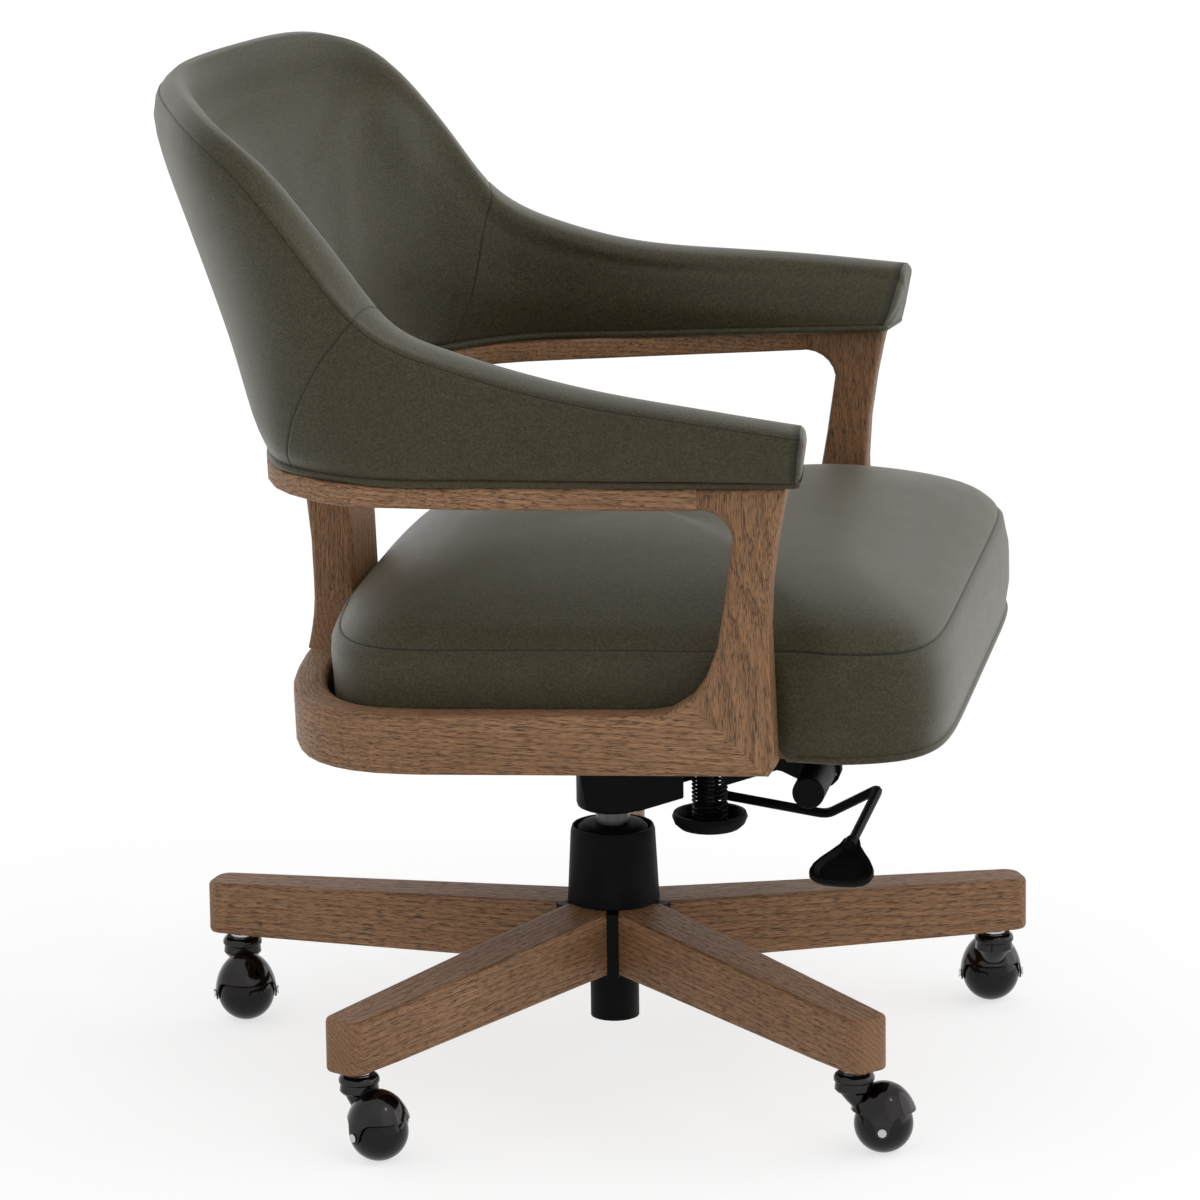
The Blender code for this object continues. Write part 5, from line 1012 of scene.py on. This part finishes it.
def cushion_rings(side_count, top_count, crowded):
    """Rings from the foot upwards, the number of the sewn one, and the shares of those on top."""
    sides = list(np.linspace(0.04, 1.0, side_count))
    tops = list(1.0 - np.linspace(0.0, 1.0, top_count + 1)[1:-1] ** 1.25)
    if crowded:
        sides = [s for s in sides if (1.0 - s) * BAND > SEAM_REACH]
        sides += [1.0 - o / BAND for o in (*SEAM_OFFSETS[::-1], 0.0)]
        tops = [s for s in tops if (1.0 - s) * TOP_RADIUS > SEAM_REACH]
        tops = [1.0 - o / TOP_RADIUS for o in SEAM_OFFSETS] + tops
    rings = [cushion_ring(side_out(CUSHION_FOOT) - 0.0015, FOOT_HEIGHT)]
    rings += [cushion_ring(side_out(CUSHION_FOOT + BAND * share), mix(FOOT_HEIGHT, SEAM_HEIGHT, share))
              for share in sides]
    rings += [cushion_ring(-SEAM_INSET * smoothstep(1.0 - (1.0 - share) / 0.08),
                           SEAM_HEIGHT + crown_height(share), share) for share in tops]
    return np.array(rings), len(sides), np.array(tops)


coarse_rings, coarse_seam, coarse_tops = cushion_rings(8, 16, False)
print("coarse cushion:", coarse_rings.shape[0], "rings")

# %% Puff the cushion's top
top_ring = len(coarse_rings) - 1
held_points = [ring * CUSHION_POINTS + step for ring in (*range(coarse_seam + 1), top_ring)
               for step in range(CUSHION_POINTS)]
cushion_moved = evened(puff("cushion_coarse", coarse_rings, held_points, 5.0, 0.004))
print("cushion movement grid:", cushion_moved.shape)

# %% Sew the cushion cover
NEAR_CUSHION_SEAM = 0.009


def sew_cushion():
    rings, seam_ring, tops = cushion_rings(14, 30, True)
    moved = np.zeros_like(rings)
    coarse_shares = np.concatenate([[1.0], coarse_tops])[::-1]
    grid = cushion_moved[coarse_seam:][::-1]
    for number, share in enumerate(tops):
        spot = np.interp(share, coarse_shares, np.arange(len(coarse_shares)))
        low = min(int(spot), len(coarse_shares) - 2)
        moved[seam_ring + 1 + number] = mix(grid[low], grid[low + 1], spot - low)
    moved[:, :, 0:2] *= 0.4
    rings = rings + moved
    normals = grid_normals(rings)
    if (normals[seam_ring - 4, :, 0:2] * PLAN_OUT).sum() < 0.0:
        normals = -normals
    distance = np.linalg.norm(rings - rings[seam_ring], axis=2)
    rings = rings + normals * seam_depth(distance)[:, :, None]
    near, on = seam_marks(distance, NEAR_CUSHION_SEAM)

    lip = np.where(IN_FRONT, -0.0055, -0.0080)
    below = [cushion_ring(0.0, BOARD_TOP, 0.5), cushion_ring(lip - 0.0003, BOARD_TOP),
             cushion_ring(lip, FOOT_HEIGHT)]
    near, on = (np.pad(marks, ((len(below), 0), (0, 0))) for marks in (near, on))
    return cover_object("seat_cushion_cover", np.concatenate([below, rings]), near, on)


cushion_cover = sew_cushion()
print("cushion cover:", len(cushion_cover.data.vertices), "points")

# %% [markdown]
# Piping is a strip of the same leather folded round a cord and sewn into an edge. It follows a
# path and keeps its thickness, which is what Geometry Nodes do well: turn the path into a curve,
# sweep a circle along it and give it the leather. The same tree makes both pipings.

# %% A Geometry Nodes tree for piping
PIPING_SIDES = 14


def build_piping_tree():
    """The tree, and the identifier of each of its inputs."""
    tree = bpy.data.node_groups.new("piping", "GeometryNodeTree")
    identifiers = {}
    for label, kind, value in (("Path", "Geometry", None), ("Radius", "Float", PIPING_RADIUS),
                               ("Sides", "Int", PIPING_SIDES), ("Material", "Material", None)):
        socket = tree.interface.new_socket(name=label, in_out="INPUT", socket_type="NodeSocket" + kind)
        identifiers[label] = socket.identifier
        if value is not None:
            socket.default_value = value
    tree.interface.new_socket(name="Piping", in_out="OUTPUT", socket_type="NodeSocketGeometry")
    given = tree.nodes.new("NodeGroupInput").outputs
    to_curve = add(tree, "GeometryNodeMeshToCurve", None, Mesh=given["Path"])
    circle = add(tree, "GeometryNodeCurvePrimitiveCircle", {"mode": "RADIUS"}, Resolution=given["Sides"],
                 Radius=given["Radius"])
    sweep = add(tree, "GeometryNodeCurveToMesh", None, Curve=to_curve.outputs[0],
                Profile_Curve=circle.outputs["Curve"], Fill_Caps=True)
    soft = add(tree, "GeometryNodeSetShadeSmooth", None, Geometry=sweep.outputs[0])
    real = add(tree, "GeometryNodeRealizeInstances", None, Geometry=soft.outputs[0])
    dressed = add(tree, "GeometryNodeSetMaterial", None, Geometry=real.outputs[0], Material=given["Material"])
    tree.links.new(dressed.outputs[0], tree.nodes.new("NodeGroupOutput").inputs["Piping"])
    return tree, identifiers


piping_tree, piping_inputs = build_piping_tree()


def piping(name, path, closed):
    """Runs the tree on a path and returns its result as a plain mesh object."""
    count = len(path)
    edges = [(i, i + 1) for i in range(count - 1)] + ([(count - 1, 0)] if closed else [])
    source = to_scene(name + "_path", mesh_from(name + "_path", path, [], edges))
    step = modify(source, "nodes", "NODES", node_group=piping_tree)
    for label, value in (("Radius", PIPING_RADIUS), ("Sides", PIPING_SIDES), ("Material", leather)):
        step[piping_inputs[label]] = value
    bpy.context.view_layer.update()
    result = bpy.data.meshes.new_from_object(evaluated(source))
    result.name = name
    bpy.data.objects.remove(source, do_unlink=True)
    return to_scene(name, result)


print("piping tree:", len(piping_tree.nodes), "nodes")

# %% Piping round the foot of the barrel
FRONT_GAP = 0.0030
PIPING_OFFSET = 0.0020
FRONT_CORNER = 0.0038


def foot_paths():
    """The outer and the inner line of the piping, each from one arm's front to the other's."""
    outer, inner = [], []
    rise = np.array((0.0, 0.0, PIPING_RADIUS + 0.0001))
    for place in np.linspace(FRONT_GAP, BARREL_LENGTH - FRONT_GAP, 240):
        feet = section(place)[2]
        inward = flat_unit(feet[3] - feet[0])
        outer.append(feet[0] - inward * PIPING_OFFSET + rise)
        inner.append(feet[3] + inward * PIPING_OFFSET + rise)
    return np.array(outer), np.array(inner)


def rounded_front(start, end, forward):
    """The short stretch of piping across the front of an arm, with rounded corners."""
    run = flat_unit(end - start)
    turns = [QUARTER * step / 6 for step in range(7)]
    first, last = ([corner + FRONT_CORNER * (away * (1.0 - math.cos(turn)) + forward * math.sin(turn))
                    for turn in turns] for corner, away in ((start, run), (end, -run)))
    return first[1:] + last[::-1][:-1]


outer_foot, inner_foot = foot_paths()
left_ahead = flat_unit(outer_foot[0] - outer_foot[1])
right_ahead = flat_unit(outer_foot[-1] - outer_foot[-2])
barrel_loop = (list(outer_foot) + rounded_front(outer_foot[-1], inner_foot[-1], right_ahead)
               + list(inner_foot[::-1]) + rounded_front(inner_foot[0], outer_foot[0], left_ahead))
barrel_piping = piping("barrel_piping", in_seat(barrel_loop), True)
print("barrel piping:", round(length_of(np.array(barrel_loop)), 2), "m")

# %% Piping under the front of the cushion
front_points = [i for i in range(CUSHION_POINTS) if PLAN[i][1] < POST_FRONT - 0.012]
first_point = next(i for i in front_points if (i - 1) % CUSHION_POINTS not in front_points)
front_line = np.roll(PLAN - PLAN_OUT * 0.0012, -first_point, axis=0)[:len(front_points)]
front_line = np.column_stack([front_line, np.full(len(front_line), CUSHION_FOOT + PIPING_RADIUS)])
cushion_piping = piping("cushion_piping", in_seat(front_line), False)
print("cushion piping:", round(length_of(front_line), 2), "m")

# %% [markdown]
# Each new piece now takes its place in the chair: the covers stand for solids, which are hidden, and every
# piece rides on the seat.

# %% Seat the covers
for item, stands_for, fill in ((barrel_cover, ("arm_pad_right", "arm_pad_left", "back_pad"), 0.85),
                               (cushion_cover, ("seat_cushion",), 0.9)):
    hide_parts(*stands_for)
    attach(item, "seat")
for item in (barrel_piping, cushion_piping):
    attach(item, "seat")
print("covers seated")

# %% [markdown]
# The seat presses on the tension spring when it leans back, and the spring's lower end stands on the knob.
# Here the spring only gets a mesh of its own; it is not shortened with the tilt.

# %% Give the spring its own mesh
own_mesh(solids["tension_spring"])

# %% [markdown]
# A ball caster is a glossy ball on an axle, under a hood that turns on its stem. The solids have
# few faces, and a mirror finish would show them, so each ball and hood gets a finer piece. The
# hood is built once as the metal is formed: a tall dome, cut to a tongue at each end of the axle,
# joined to its neck and cup, then hollowed. Boolean modifiers do the joining and the cutting.

# %% One fine caster hood
BALL_RADIUS = 0.0235
TRAIL = 0.023
HOOD_OUTER = BALL_RADIUS + 0.0021
HOOD_WALL = 0.0013
HOOD_INNER = HOOD_OUTER - HOOD_WALL
HOOD_STRETCH = 1.07
HOOD_RISE = 1.33
HOOD_RIM = 0.0120
TONGUE = 0.0055
CUP_TOP = 0.0656
CUP_FOOT = CUP_TOP - 0.0155
CUP_RADIUS = 0.0162
BORE = 0.0059
# Radius less than the cup's, and height over its foot.
CUP_STEPS = ((0.0020, 0.0), (0.0006, 0.0020), (0.0012, 0.0080), (0.0, 0.0092), (0.0, 0.0118),
             (0.0014, 0.0142), (0.0034, 0.0155))
# The neck's rings: how far they trail, height, radius.
NECK_RINGS = ((0.0, 0.0520, 0.0130), (0.0007, 0.0500, 0.0128), (0.0025, 0.0460, 0.0120),
              (0.0050, 0.0420, 0.0112), (0.0080, 0.0380, 0.0105))


def ring_of(bm, radius, height, segments, trail=0.0, squeeze=1.0):
    turns = [math.tau * s / segments for s in range(segments)]
    return [bm.verts.new((trail + radius * math.cos(turn), squeeze * radius * math.sin(turn), height))
            for turn in turns]


def bridge(bm, rings):
    """Faces between rings of points; a ring may be one point many times."""
    for lower, upper in zip(rings, rings[1:]):
        for s in range(len(lower)):
            after = (s + 1) % len(lower)
            corners = dict.fromkeys((lower[s], lower[after], upper[after], upper[s]))
            if len(corners) > 2:
                bm.faces.new(list(corners))


def lathe(profile, segments=72):
    """A closed profile of radius and height spun round Z."""
    bm = bmesh.new()
    bridge(bm, [ring_of(bm, radius, height, segments) if radius > 0.0
                else [bm.verts.new((0.0, 0.0, height))] * segments for radius, height in profile])
    return bm


def mesh_of(name, bm):
    mesh = bpy.data.meshes.new(name)
    bm.to_mesh(mesh)
    bm.free()
    return mesh


def dome(radius, stretch, rise):
    bm = bmesh.new()
    bmesh.ops.create_uvsphere(bm, u_segments=72, v_segments=44, radius=radius)
    bm.transform(Matrix.Rotation(QUARTER, 4, "X"))
    for vert in bm.verts:
        vert.co.x *= stretch
        vert.co.z *= rise if vert.co.z > 0.0 else 1.0
    bm.transform(Matrix.Translation((TRAIL, 0.0, BALL_RADIUS)))
    return bm


def tongue_cutter():
    """The side view that the dome is cut to: round the axle's end, up, and out to a level rim."""
    half = [(TONGUE * math.sin(QUARTER * s / 8), -TONGUE * math.cos(QUARTER * s / 8)) for s in range(9)]
    half += [(0.0075, 0.0060), (0.0083, 0.0080), (0.0098, 0.0098), (0.0120, 0.0110), (0.0150, 0.0117),
             (0.0200, HOOD_RIM), (0.0600, HOOD_RIM), (0.0600, 0.0600)]
    outline = half + [(-a, b) for a, b in half[:0:-1]]
    bm = bmesh.new()
    face = bm.faces.new([bm.verts.new((a + TRAIL, -0.04, b + BALL_RADIUS)) for a, b in outline])
    extruded = bmesh.ops.extrude_face_region(bm, geom=[face])["geom"]
    moved = [v for v in extruded if isinstance(v, bmesh.types.BMVert)]
    bmesh.ops.translate(bm, verts=moved, vec=(0.0, 0.08, 0.0))
    return bm


def hood_neck():
    bm = bmesh.new()
    rings = [ring_of(bm, radius, height, 48, trail, 0.95) for trail, height, radius in NECK_RINGS]
    bridge(bm, rings)
    bm.faces.new(rings[0])
    bm.faces.new(rings[-1][::-1])
    return bm


def hood_mesh():
    """The hood about its stem's axis, trailing along +X."""
    cup = [(CUP_RADIUS - less, CUP_FOOT + height) for less, height in CUP_STEPS]
    hollow = dome(HOOD_INNER, (HOOD_OUTER * HOOD_STRETCH - HOOD_WALL) / HOOD_INNER,
                  (HOOD_OUTER * HOOD_RISE - HOOD_WALL) / HOOD_INNER)
    bore = lathe(((0.0, 0.0488), (BORE, 0.0488), (BORE, 0.0756), (0.0, 0.0756)))
    shapes = (("BLANK", dome(HOOD_OUTER, HOOD_STRETCH, HOOD_RISE)), ("INTERSECT", tongue_cutter()),
              ("UNION", lathe([(0.0, CUP_FOOT), *cup, (0.0, CUP_TOP)])), ("UNION", hood_neck()),
              ("DIFFERENCE", hollow), ("DIFFERENCE", bore))
    helpers = []
    for operation, bm in shapes:
        helpers.append(to_scene(operation, mesh_of(operation, bm)))
        outward_faces(helpers[-1].data)
        if len(helpers) > 1:
            modify(helpers[0], operation, "BOOLEAN", operation=operation, object=helpers[-1], solver="EXACT")
    bpy.context.view_layer.update()
    mesh = bpy.data.meshes.new_from_object(evaluated(helpers[0]))
    for item in helpers:
        bpy.data.objects.remove(item, do_unlink=True)
    mesh.shade_smooth()
    mesh.set_sharp_from_angle(angle=math.radians(32.0))
    return mesh


HOOD = hood_mesh()
print("fine hood:", len(HOOD.polygons), "faces")

# %% Fine hoods and balls on the five casters


def joint_called(name):
    return next(j for j in frame["joints"] if j["name"] == name)


def hood_piece(number):
    swivel = Vector(joint_called(f"caster_swivel_{number}")["pos_m"])
    roll = Vector(joint_called(f"caster_roll_{number}")["pos_m"])
    yaw = math.atan2(roll.y - swivel.y, roll.x - swivel.x)
    mesh = HOOD.copy()
    mesh.transform(Matrix.Translation((swivel.x, swivel.y, 0.0)) @ Matrix.Rotation(yaw, 4, "Z"))
    mesh.name = f"caster_hood_fine_{number}"
    item = to_scene(mesh.name, mesh)
    dress(item, "plated_dark")
    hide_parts(f"caster_hood_{number}")
    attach(item, f"caster_{number}")
    return item


def ball_piece(number):
    roll = joint_called(f"caster_roll_{number}")
    bm = bmesh.new()
    bmesh.ops.create_uvsphere(bm, u_segments=64, v_segments=40, radius=BALL_RADIUS)
    turn = Vector(roll["axis"]).to_track_quat("Z", "Y").to_matrix().to_4x4()
    bm.transform(Matrix.Translation(Vector(roll["pos_m"])) @ turn)
    mesh = mesh_of(f"caster_ball_fine_{number}", bm)
    mesh.shade_smooth()
    item = to_scene(mesh.name, mesh)
    dress(item, "gloss_black")
    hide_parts(f"caster_ball_{number}")
    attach(item, f"ball_{number}")
    return item


hoods = [hood_piece(number) for number in range(1, 6)]
balls = [ball_piece(number) for number in range(1, 6)]
print("fine hoods and balls:", len(hoods), len(balls))

# %% [markdown]
# The studio is a white sweep. What the camera and mirrors see of it is white by its own light,
# and only a share of its shade comes from the lamps, so the chair's shadow stays soft and pale.
# Most of the light comes from all round, a little less from overhead. Three very broad suns give
# it some direction, and a small one puts glints on the plating.

# %% Floor and lamps
FLOOR_HALF = 9.0
# Direction, width in degrees, power.
SUNS = {
    "from_above": ((0.15, 0.25, -1.0), 100.0, 0.08),
    "from_far_side": ((-0.38, 0.90, -0.24), 60.0, 0.85),
    "glint": ((0.35, 0.45, -0.80), 7.0, 0.09),
    "from_front": ((0.55, 0.80, -0.60), 70.0, 0.22),
}


def any_seen(tree):
    """1 for what is seen by the camera, in a reflection or through glass, 0 for all other light."""
    path = add(tree, "ShaderNodeLightPath").outputs
    return sums(tree, "MAXIMUM", path["Is Camera Ray"],
                sums(tree, "MAXIMUM", path["Is Glossy Ray"], path["Is Transmission Ray"]))


def build_floor():
    made = bpy.data.materials.new("studio_floor")
    made.use_nodes = True
    tree = made.node_tree
    tree.nodes.clear()
    matt = add(tree, "ShaderNodeBsdfDiffuse", None, Color=(0.42, 0.42, 0.42, 1.0))
    glow = add(tree, "ShaderNodeEmission", None, Color=(0.66, 0.66, 0.66, 1.0),
               Strength=sums(tree, "MAXIMUM", any_seen(tree), 0.55))
    both = add(tree, "ShaderNodeAddShader", None, i0=matt.outputs[0], i1=glow.outputs[0])
    tree.links.new(both.outputs[0], tree.nodes.new("ShaderNodeOutputMaterial").inputs["Surface"])
    corners = [(FLOOR_HALF * a, FLOOR_HALF * b, 0.0) for a, b in ((-1, -1), (1, -1), (1, 1), (-1, 1))]
    mesh = mesh_from("studio_floor", corners, [(0, 1, 2, 3)])
    mesh.materials.append(made)
    item = to_scene("studio_floor", mesh)


build_floor()
for name, (towards, spread, power) in SUNS.items():
    lamp = bpy.data.lights.new(name, "SUN")
    assign(lamp, angle=math.radians(spread), energy=power)
    to_scene(name, lamp).rotation_euler = Vector(towards).to_track_quat("-Z", "Y").to_euler()

world = bpy.data.worlds.new("studio")
bpy.context.scene.world = world
world.use_nodes = True
sky = world.node_tree
sky.nodes.clear()
direction = add(sky, "ShaderNodeTexCoord").outputs["Generated"]
overhead = sums(sky, "MAXIMUM", add(sky, "ShaderNodeSeparateXYZ", None, Vector=direction).outputs[2], 0.0)
dimmed = sums(sky, "MULTIPLY_ADD", overhead, -0.50, 1.06)
back = add(sky, "ShaderNodeBackground", None, Color=(1.0, 1.0, 1.0, 1.0),
           Strength=sums(sky, "MAXIMUM", any_seen(sky), dimmed))
sky.links.new(back.outputs[0], sky.nodes.new("ShaderNodeOutputWorld").inputs["Surface"])
bpy.context.scene.view_settings.view_transform = "Standard"
print("studio ready, suns:", len(SUNS))
